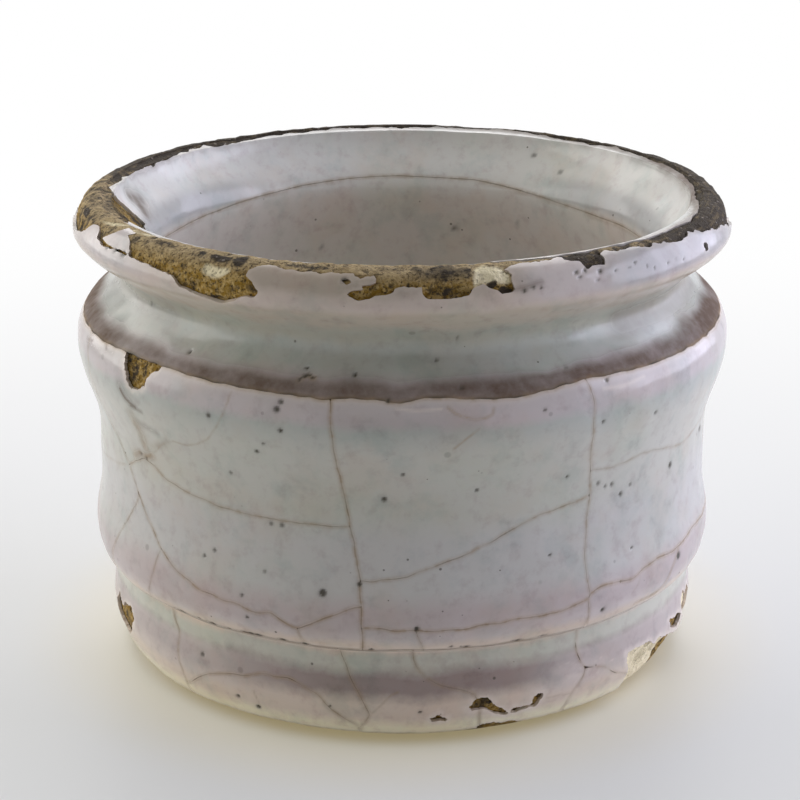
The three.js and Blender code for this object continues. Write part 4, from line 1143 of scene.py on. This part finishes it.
class Nodes:
    """A cleared node tree, and short ways to add nodes whose inputs are values or terms."""

    def __init__(self, tree):
        self.tree = tree
        tree.nodes.clear()
        self.place = None

    def feed(self, node, key, value):
        """Set an input of a node to a value, or link a term to it."""
        if isinstance(value, Term):
            self.tree.links.new(value.socket, node.inputs[key])
        else:
            node.inputs[key].default_value = value

    def add(self, kind, inputs=None, **settings):
        """One shader node with its settings and inputs."""
        made = self.tree.nodes.new("ShaderNode" + kind)
        for key, value in settings.items():
            setattr(made, key, value)
        for key, value in (inputs or {}).items():
            self.feed(made, key, value)
        return made

    def term(self, key, kind, inputs=None, **settings):
        """One output of a new node."""
        return Term(self, self.add(kind, inputs, **settings).outputs[key])

    def terms(self, kind, inputs=None, **settings):
        """All outputs of a new node, in their order."""
        return [Term(self, output) for output in self.add(kind, inputs, **settings).outputs]

    def calc(self, operation, first, second=0.0):
        """One arithmetic node."""
        return self.term(0, "Math", {0: first, 1: second}, operation=operation)

    def larger(self, first, second):
        """The larger of two values."""
        return self.calc("MAXIMUM", first, second)

    def step_up(self, value, low, high):
        """Smooth rise from 0 at low to 1 at high."""
        inputs = {"Value": value, "From Min": low, "From Max": high}
        return self.term(0, "MapRange", inputs, interpolation_type="SMOOTHSTEP")

    def between(self, value, low, full, fall, high):
        """Smooth rise from low to full, and fall to 0 again further up."""
        return self.step_up(value, low, full) - self.step_up(value, fall, high)

    def mix(self, factor, first, second, blend="MIX"):
        """Colour mix of two colours."""
        inputs = {0: factor, 6: rgba(first), 7: rgba(second)}
        return self.term(2, "Mix", inputs, data_type="RGBA", blend_type=blend, clamp_factor=True)

    def noise(self, scale, detail=3.0, rough=0.55, place=None):
        """Noise of about that many features a metre."""
        inputs = {"Vector": place or self.place, "Scale": scale, "Detail": detail, "Roughness": rough}
        return self.term("Fac", "TexNoise", inputs)

    def specks(self, scale, radius, share):
        """Round specks: 1 within a radius of the centres of some cells."""
        inputs = {"Vector": self.place, "Scale": scale, "Randomness": 1.0}
        distance, cell = self.terms("TexVoronoi", inputs)[:2]
        chosen, size = self.terms("SeparateColor", {0: cell})[:2]
        spot = 1.0 - self.step_up(distance / (size * radius), 0.55, 1.0)
        return spot * self.calc("LESS_THAN", chosen, share)

    def mark(self, name):
        """A per-point mark of the mesh."""
        return self.term("Fac", "Attribute", attribute_name=name, attribute_type="GEOMETRY")

    def bump(self, shader, strength, distance, height):
        """Relief of a shader: its strength, and the distance in mm that a height of 1 stands for."""
        inputs = {"Strength": strength, "Distance": distance * MM, "Height": height}
        self.feed(shader, "Normal", self.term(0, "Bump", inputs))

    def bearings(self):
        """Angle about the axis in radians, 0 in front and more to the right, and height in metres."""
        x, y, height = self.terms("SeparateXYZ", {0: self.place})
        return self.calc("ARCTAN2", x, -y), height


def start_material(name):
    """A new material: its nodes with object coordinates, its principled shader and its output."""
    made = bpy.data.materials.new(name)
    made.use_nodes = True
    nodes = Nodes(made.node_tree)
    shader = nodes.add("BsdfPrincipled")
    output = nodes.add("OutputMaterial", {"Surface": Term(nodes, shader.outputs[0])})
    nodes.place = nodes.term("Object", "TexCoord")
    return made, nodes, shader, output


def band_ramp(nodes, colours, bands):
    """Colour by height, with the height shifted a little by noise."""
    height = nodes.terms("SeparateXYZ", {0: nodes.place})[2]
    shift = (nodes.noise(160, 5, 0.65) - 0.5) * (BAND_SHIFT * MM)
    ramp = nodes.add("ValToRGB", {0: (height + shift) / (BAND_TOP * MM)})
    stops = ramp.color_ramp.elements
    while len(stops) < len(bands):
        stops.new(1.0)
    for stop, (level, key) in zip(stops, bands):
        stop.position = level / BAND_TOP
        stop.color = rgba(getattr(colours, key))
    return Term(nodes, ramp.outputs["Color"])


def dress_glaze(nodes, shader, colours, base):
    """Cloudiness, specks, stained cracks, pale broken edges, pits and a wavy gloss over a base colour."""
    tint = base
    for scale, detail, low, high, share in (
            (150, 4, 0.42, 0.70, colours.tinge),
            (140, 4, 0.45, 0.68, colours.rosy),
            (300, 5, 0.48, 0.70, colours.slate),
            (700, 4, 0.47, 0.76, colours.bruise)):
        cloud = nodes.step_up(nodes.noise(scale, detail, 0.63), low, high)
        tint = nodes.mix(cloud, tint, share, "MULTIPLY")
    fine = nodes.specks(620, 0.12, 0.36)
    soft = nodes.specks(330, 0.15, 0.30)
    # The smear mark is brown soil and smears, and painted shade in the neck groove at both sides
    smear = nodes.mark("smear") * (nodes.noise(1100, 4, 0.6) * 0.52 + 0.74)
    # The stain mark is dirt along cracks, and painted shadow at the foot of the walls of broken edges
    stain = nodes.mark("stain")
    patch = nodes.step_up(nodes.noise(900, 2), 0.42, 0.62)
    for share, layer in (
            (fine * 0.7, colours.speck),
            (soft * 0.26, colours.speck),
            (nodes.mark("pale") * 0.75, colours.cream),
            (smear, colours.brown),
            (stain * (patch * 0.35 + 0.45), colours.stain),
            (nodes.mark("pit"), colours.speck)):
        tint = nodes.mix(share, tint, layer)
    nodes.feed(shader, "Base Color", tint)
    worn = nodes.noise(240, 4) * 0.18 + 0.12
    matt = nodes.larger(stain * 0.5, smear * 0.9)
    nodes.feed(shader, "Roughness", nodes.larger(worn, matt))
    nodes.feed(shader, "Specular IOR Level", 0.42)
    nodes.feed(shader, "IOR", 1.5)
    waves = nodes.noise(300, 2) + nodes.noise(1500, 2) * 0.15
    nodes.bump(shader, 0.12, 0.4, waves - fine * 0.3)


def glaze_material(colours):
    """Tin glaze of the outside: bands of colour by height, where the glaze pooled or ran thin."""
    known = bpy.data.materials.get("tin_glaze")
    if known:
        return known
    made, nodes, shader, _ = start_material("tin_glaze")
    base = band_ramp(nodes, colours, GLAZE_BANDS)
    turn, height = nodes.bearings()
    aside = nodes.larger(nodes.step_up(turn, 0.30, 0.62), nodes.step_up(-turn, 0.22, 0.70))
    foot = nodes.between(height, 3.6 * MM, 4.8 * MM, 7.4 * MM, 8.2 * MM)
    base = nodes.mix(aside * foot * 0.65, base, colours.lilac)
    front = 1.0 - nodes.step_up(nodes.calc("ABSOLUTE", turn), 2.2, 2.9)
    lip = front * nodes.step_up(height, 41.8 * MM, 42.8 * MM)
    # Painted shade: the pearl tint makes the right of the lip darker
    for side, low, high, tint in (
            (turn, 0.28, 0.40, colours.lilac),
            (turn, 0.42, 0.78, colours.pearl_painted_shade),
            (-turn, 0.68, 0.95, colours.iris)):
        base = nodes.mix(nodes.step_up(side, low, high) * lip, base, tint)
    dress_glaze(nodes, shader, colours, base)
    return made


def lining_material(colours):
    """Tin glaze of the inside: clean in the mouth, with painted shade at both sides above the crack, soiled
    below it.
    """
    made, nodes, shader, _ = start_material("tin_lining")
    base = band_ramp(nodes, colours, LINING_BANDS)
    turn, height = nodes.bearings()
    # Painted shade: a band of the lining above the throat crack is dimmed at both sides
    side = 1.0 - nodes.step_up(nodes.calc("ABSOLUTE", turn), 2.25, 2.60)
    painted_shade_band = nodes.between(height, 38.9 * MM, 40.0 * MM, 40.8 * MM, 42.2 * MM)
    base = nodes.mix(side * painted_shade_band, base, colours.throat)
    dress_glaze(nodes, shader, colours, base)
    return made


def clay_material(colours):
    """Bare earthenware: ochre with pale grains, streaks along the lip and dark pores, soiled or fresh."""
    made, nodes, shader, _ = start_material("earthenware")
    x, y, height = nodes.terms("SeparateXYZ", {0: nodes.place})
    turn = nodes.calc("ARCTAN2", x, y) * (7.0 * MM)
    across = nodes.calc("SQRT", nodes.calc("POWER", x, 2.0) + nodes.calc("POWER", y, 2.0))
    along = nodes.term(0, "CombineXYZ", {0: turn, 1: across, 2: height})
    grains = nodes.noise(2300, 3, 0.7)
    streaks = nodes.noise(2600, 3, 0.6, along)
    crown = nodes.step_up(height, 43.4 * MM, 45.0 * MM)
    pale = nodes.step_up(grains * 0.78 + streaks * 0.22 + crown * 0.06, 0.42, 0.60)
    fresh = nodes.mark("fresh")
    murk = nodes.step_up(nodes.noise(1500, 5, 0.7), 0.46, 0.66)
    soil = nodes.step_up(nodes.mark("soil") * 1.25 + murk * 0.42 - fresh * 0.25, 0.45, 1.10)
    soil = soil * (1.0 - nodes.step_up(streaks, 0.50, 0.64) * 0.16)
    crumbs = nodes.specks(2100, 0.5, 0.3) * nodes.step_up(nodes.mark("soil"), 0.8, 1.1)
    pores = nodes.step_up(nodes.noise(4300, 4, 0.68), 0.55, 0.66)
    tint = colours.ochre
    for share, layer in (
            (pale, colours.sand),
            (crown * 0.55, colours.ash),
            (fresh * 0.95, colours.fresh),
            (soil, colours.dark),
            (crumbs * 0.22, colours.cream),
            (pores * (0.85 - fresh * 0.6), colours.dark)):
        tint = nodes.mix(share, tint, layer)
    nodes.feed(shader, "Base Color", tint)
    nodes.feed(shader, "Roughness", 0.85)
    nodes.feed(shader, "Specular IOR Level", 0.25)
    nodes.bump(shader, 0.9, 0.25, grains + nodes.noise(700, 3) * 0.8 - pores * 0.5)
    return made


def background_rays(nodes):
    """1 for the rays that see the studio as plain white: from the camera, by gloss or through glass."""
    path = {output.socket.name: output for output in nodes.terms("LightPath")}
    mirrored = nodes.larger(path["Is Glossy Ray"], path["Is Transmission Ray"])
    return nodes.larger(path["Is Camera Ray"], mirrored)


def floor_material(colours):
    """Pale floor near the jar, with a warm painted glow beside the foot for the jar's reflection, that turns
    to plain white for the camera farther back.
    """
    made, nodes, shader, output = start_material("floor")
    nodes.feed(shader, "Base Color", rgba(colours.floor))
    nodes.feed(shader, "Roughness", 0.45)
    back = nodes.terms("SeparateXYZ", {0: nodes.place})[1]
    seen = background_rays(nodes)
    away = nodes.term("Value", "VectorMath", {0: nodes.place}, operation="LENGTH")
    # Painted reflection: warm glow beside the foot and haze near the jar, for the camera only
    tone = nodes.mix(nodes.step_up(away, 0.0255, 0.0285), colours.glow, colours.haze)
    tone = nodes.mix(nodes.step_up(away, 0.028, 0.040), tone, colours.veil)
    far = nodes.larger(nodes.step_up(back, -0.02, 0.16), nodes.step_up(away, 0.15, 0.32))
    look = Term(nodes, shader.outputs[0])
    for share, light in ((seen * 0.5, tone), (far * seen, rgba(WHITE))):
        glow = nodes.term(0, "Emission", {"Color": light, "Strength": 1.0})
        look = nodes.term(0, "MixShader", {0: share, 1: look, 2: glow})
    nodes.feed(output, "Surface", look)
    return made


class JAR_OT_clay_body(bpy.types.Operator):
    """Turn the clay body, bare and worn at the lip and in the chips"""

    bl_idname = "jar.clay_body"
    bl_label = "Clay body"

    def execute(self, context):
        outline = Outline(context.scene.jar_form)
        lip_low, lip_high = outline.crest - LIP_REACH, outline.crest + LIP_REACH
        reaches = np.concatenate([
            np.linspace(0.6, outline.s[outline.table], 12, endpoint=False),
            np.linspace(outline.s[outline.table], lip_low, 66, endpoint=False),
            np.linspace(lip_low, lip_high, 62, endpoint=False),
            np.linspace(lip_high, outline.end - 1.5, 22),
        ])
        angles = ring_angles(0.48, 1.1, 100)
        angle, s = (grid.ravel() for grid in np.meshgrid(angles, reaches))
        angle = np.append(angle, [0, 0])
        s = np.append(s, [0, outline.end])
        turn = half_turn(angle)
        x = np.radians(turn) * MARK_RADIUS
        points = outline.place(angle, s, 0.0)
        rough = 0.6 * grain(points, 2.6, 41) + 0.5 * grain(points, 1.1, 42)
        lip = np.minimum(s - by_angle(outline, LIP_EDGE)(turn), by_angle(outline, MOUTH_EDGE)(turn) - s)
        for corners in LIP_CHIPS + MOUTH_CHIPS:
            lip = np.maximum(lip, -chip_distance(x, s, flat_lip(outline, corners)))
        lip = np.clip(lip / 0.3 + 0.6, 0, 1)
        hollow, broken = (
            np.clip(depth_within(x, s, [flat(outline, corners) for corners in chips]) / slope, 0, 1)
            for chips, slope in ((SHOULDER_CHIPS + FOOT_CHIPS, 0.6), (EDGE_CHIPS, 1.6)))
        flush = np.clip((np.interp(s, outline.s, outline.normal_z) - 0.35) / 0.5, 0, 1)
        depth = swing(points) - outline.skin + lip * flush * (outline.skin - LIP_SINK)
        depth -= ((0.04 + 0.05 * rough) * lip + (0.10 + 0.06 * rough) * hollow
                  + (0.5 + 0.15 * rough) * broken)
        points = outline.place(angle, s, np.minimum(depth, -CLAY_SINK))
        points[:, 2] = np.clip(points[:, 2], CAD_LOW.z, CAD_HIGH.z)
        fresh = np.zeros(s.shape)
        fresh_rings = [flat_lip(outline, corners) for corners in FRESH_LIP]
        for ring in fresh_rings + [flat(outline, corners) for corners in FRESH_FOOT]:
            within = -chip_distance(x, s, ring) + 0.1 * rough
            fresh = np.maximum(fresh, np.clip(within / 0.3 + 0.5, 0, 1))
        soil = np.where(s > lip_low, np.interp(turn, *np.array(LIP_SOIL, float).T), 0.5)
        soil = np.clip(soil + 0.16 * rough, 0, 1.3) * (1 - 0.9 * fresh)
        # Soil patches, and one painted shadow inside the mouth
        for at, past, width, height, strength in SOIL_AND_SHADOW_SPOTS:
            spot = np.hypot((turn - at) / width, (s - outline.crest - past) / height) * (1 + 0.2 * rough)
            soil = np.maximum(soil, strength * np.exp(-spot ** 4))
        rows, count = len(reaches), len(angles)
        index = np.arange(rows * count).reshape(rows, count)
        after = np.roll(index, -1, axis=1)
        a, b, c, d = (part.ravel() for part in (index[:-1], after[:-1], index[1:], after[1:]))
        under, over = np.full(count, rows * count), np.full(count, rows * count + 1)
        faces = np.concatenate([np.column_stack([a, b, d]), np.column_stack([a, d, c]),
                                np.column_stack([after[0], index[0], under]),
                                np.column_stack([index[-1], after[-1], over])])
        material = clay_material(context.scene.jar_colours)
        piece = new_piece("jar_clay_body", points, faces, {"soil": soil, "fresh": fresh}, material)
        stand_for(piece, "clay_body")
        return {"FINISHED"}


class JAR_OT_neck_glaze(bpy.types.Operator):
    """Lay the ring of glaze over neck and lip, and the island left on the worn lip"""

    bl_idname = "jar.neck_glaze"
    bl_label = "Neck glaze"

    def execute(self, context):
        outline = Outline(context.scene.jar_form)
        material = glaze_material(context.scene.jar_colours)
        shoulder = Crack(outline, BELLY_ALONG["shoulder"], False)

        def low(turn):
            turn = np.where(turn < SHOULDER_START, turn + FULL_TURN, turn)
            span, half = shoulder.distance(turn, np.zeros(np.shape(turn)))
            return -span / np.interp(turn * radians(1) * MARK_RADIUS, shoulder.x, shoulder.lean) + half

        high = by_angle(outline, LIP_EDGE)
        rings = [flat_lip(outline, corners) for corners in LIP_CHIPS]
        reaches = np.concatenate([np.arange(shoulder.low - 0.8, shoulder.low + 4, 0.22),
                                  np.arange(shoulder.low + 4, outline.crest - 5.6, 0.4),
                                  np.arange(outline.crest - 5.6, outline.crest + 0.4, 0.17)])
        field = ring_field(outline, low, high, rings, shoulder.stain, 0.0, PITS, soil=SHOULDER_SOIL)
        angles = ring_angles(0.40, 1.0, 85)
        glaze_piece("neck_glaze", outline, angles, reaches, field, material, wrap=True)
        island = flat_lip(outline, LIP_ISLAND)
        reaches = np.arange(island[:, 1].min() - 0.5, island[:, 1].max() + 0.5, 0.12)
        angles = np.arange(-64, -47, 0.22)
        field = ring_field(outline, low, high, [], 0.0, 0.0, PITS, island)
        glaze_piece("lip_glaze_island", outline, angles, reaches, field, material)
        return {"FINISHED"}


class JAR_OT_belly_glaze(bpy.types.Operator):
    """Lay the plates of crazed glaze on the belly"""

    bl_idname = "jar.belly_glaze"
    bl_label = "Belly glaze"

    def execute(self, context):
        build_plates(context, BELLY_PLATES, BELLY_DOWN, BELLY_ALONG, SHOULDER_CHIPS)
        return {"FINISHED"}


class JAR_OT_foot_glaze(bpy.types.Operator):
    """Lay the plates of crazed glaze on the foot"""

    bl_idname = "jar.foot_glaze"
    bl_label = "Foot glaze"

    def execute(self, context):
        build_plates(context, FOOT_PLATES, FOOT_DOWN, FOOT_ALONG, FOOT_CHIPS + EDGE_CHIPS)
        return {"FINISHED"}


class JAR_OT_linings(bpy.types.Operator):
    """Line mouth and well with glaze, parted by the crack round the throat"""

    bl_idname = "jar.linings"
    bl_label = "Linings"

    def execute(self, context):
        outline = Outline(context.scene.jar_form)
        material = lining_material(context.scene.jar_colours)
        angle, height = np.array(THROAT_CRACK, float).T
        lengths = outline.inside(height)

        def throat(turn):
            return np.interp(turn, angle, lengths) + 0.08 * np.sin(np.radians(turn) * 9)

        mouth = by_angle(outline, MOUTH_EDGE)
        rings = [flat_lip(outline, corners) for corners in MOUTH_CHIPS]
        reaches = np.arange(outline.crest - 0.9, lengths.max() + 0.6, 0.2)
        field = ring_field(outline, mouth, lambda turn: throat(turn) - THROAT_GAP, rings, 0.0, THROAT_STAIN,
                           INNER_PITS, soil=MOUTH_SOIL)
        angles = ring_angles(0.9, 0.6, 70)
        glaze_piece("mouth_lining", outline, angles, reaches, field, material, wrap=True)
        reaches = np.arange(lengths.min() - 0.6, outline.end - 1.0, 0.5)
        field = ring_field(outline, lambda turn: throat(turn) + THROAT_GAP, level_edge(FAR), [], THROAT_STAIN,
                           FIRM, INNER_PITS)
        angles = ring_angles(1.5, 1.0, 90)
        glaze_piece("well_lining", outline, angles, reaches, field, material, wrap=True,
                    pole=outline.end)
        return {"FINISHED"}


class JAR_OT_base_glaze(bpy.types.Operator):
    """Lay the disc of glaze in the hollow under the foot"""

    bl_idname = "jar.base_glaze"
    bl_label = "Base glaze"

    def execute(self, context):
        form = context.scene.jar_form
        outline = Outline(form)
        edge = (form.recess_radius - form.recess_slope) / MM - 0.5
        reaches = np.arange(0.6, edge + 0.6, 0.5)
        field = ring_field(outline, level_edge(-FAR), level_edge(edge), [], FIRM, 0.0, [])
        angles = ring_angles(1.5, 1.5, 90)
        material = glaze_material(context.scene.jar_colours)
        glaze_piece("base_glaze", outline, angles, reaches, field, material, wrap=True,
                    pole=0.0)
        return {"FINISHED"}


class JAR_OT_stage(bpy.types.Operator):
    """Set floor, lights and camera"""

    bl_idname = "jar.stage"
    bl_label = "Stage"

    def execute(self, context):
        scene = context.scene
        stage = scene.jar_stage
        mesh = bpy.data.meshes.new("floor")
        corners = [(x * FLOOR_REACH, y * FLOOR_REACH, 0) for x, y in ((-1, -1), (1, -1), (1, 1), (-1, 1))]
        mesh.from_pydata(corners, [], [(0, 1, 2, 3)])
        floor = bpy.data.objects.new("floor", mesh)
        scene.collection.objects.link(floor)
        mesh.materials.append(floor_material(scene.jar_colours))
        for name, place, size, power, tint in (
                ("left_light", (-0.36, 0.09, 0.12), 0.42, stage.side_power * 1.36, (1.0, 0.975, 0.94)),
                ("right_light", (0.36, 0.07, 0.10), 0.42, stage.side_power * 2.14, (0.81, 0.82, 1.0)),
                ("back_light", (0.0, 0.34, 0.38), 0.45, stage.back_power, (1.0, 1.0, 1.0))):
            lamp = bpy.data.lights.new(name, "AREA")
            lamp.shape = "SQUARE"
            lamp.size = size
            lamp.energy = power
            lamp.color = tint
            light = bpy.data.objects.new(name, lamp)
            light.location = place
            x, y, z = np.array([0, 0, LIGHT_AIM]) - np.array(place)
            light.rotation_euler = (np.arctan2(np.hypot(x, y), -z), 0, np.arctan2(x, -y) + np.pi)
            scene.collection.objects.link(light)
        lens = bpy.data.cameras.new("camera")
        lens.lens = stage.lens
        lens.sensor_width = 36
        lens.clip_start = 0.01
        lens.clip_end = 20
        camera = bpy.data.objects.new("camera", lens)
        level = stage.distance * np.cos(stage.elevation)
        rise = stage.distance * np.sin(stage.elevation)
        camera.location = (stage.aim_side, -level, stage.aim_height + rise)
        camera.rotation_euler = (np.pi / 2 - stage.elevation, 0, 0)
        scene.collection.objects.link(camera)
        scene.camera = camera
        world = bpy.data.worlds.new("studio")
        world.use_nodes = True
        nodes = Nodes(world.node_tree)
        seen = background_rays(nodes)
        strength = seen * (1.0 - stage.ambient) + stage.ambient
        tone = nodes.mix(seen, scene.jar_colours.room, WHITE)
        sky = nodes.term(0, "Background", {"Color": tone, "Strength": strength})
        nodes.add("OutputWorld", {"Surface": sky})
        scene.world = world
        scene.view_settings.view_transform = "Standard"
        return {"FINISHED"}


class JAR_PT_panel(bpy.types.Panel):
    """Sizes, colours and steps of the jar"""

    bl_label = "Ointment jar"
    bl_idname = "JAR_PT_panel"
    bl_space_type = "VIEW_3D"
    bl_region_type = "UI"
    bl_category = "Jar"

    def draw(self, context):
        for group in (context.scene.jar_form, context.scene.jar_colours, context.scene.jar_stage):
            box = self.layout.box()
            for key in group.__annotations__:
                box.prop(group, key)
        for operator in OPERATORS:
            self.layout.operator(operator.bl_idname)


GROUPS = {"jar_form": JarForm, "jar_colours": JarColours, "jar_stage": JarStage}
OPERATORS = (
    JAR_OT_clay_body,
    JAR_OT_neck_glaze,
    JAR_OT_belly_glaze,
    JAR_OT_foot_glaze,
    JAR_OT_linings,
    JAR_OT_base_glaze,
    JAR_OT_stage,
)


def register():
    """Register the classes and hang the property groups on the scene."""
    for part in (*GROUPS.values(), *OPERATORS, JAR_PT_panel):
        bpy.utils.register_class(part)
    for key, group in GROUPS.items():
        setattr(bpy.types.Scene, key, PointerProperty(type=group))


def unregister():
    """Take the property groups off the scene and drop the classes."""
    for key in GROUPS:
        delattr(bpy.types.Scene, key)
    for part in reversed((*GROUPS.values(), *OPERATORS, JAR_PT_panel)):
        bpy.utils.unregister_class(part)


def main():
    """Build the jar and its stage."""
    register()
    bpy.ops.jar.clay_body()
    bpy.ops.jar.neck_glaze()
    bpy.ops.jar.belly_glaze()
    bpy.ops.jar.foot_glaze()
    bpy.ops.jar.linings()
    bpy.ops.jar.base_glaze()
    bpy.ops.jar.stage()


if __name__ == "__main__":
    main()
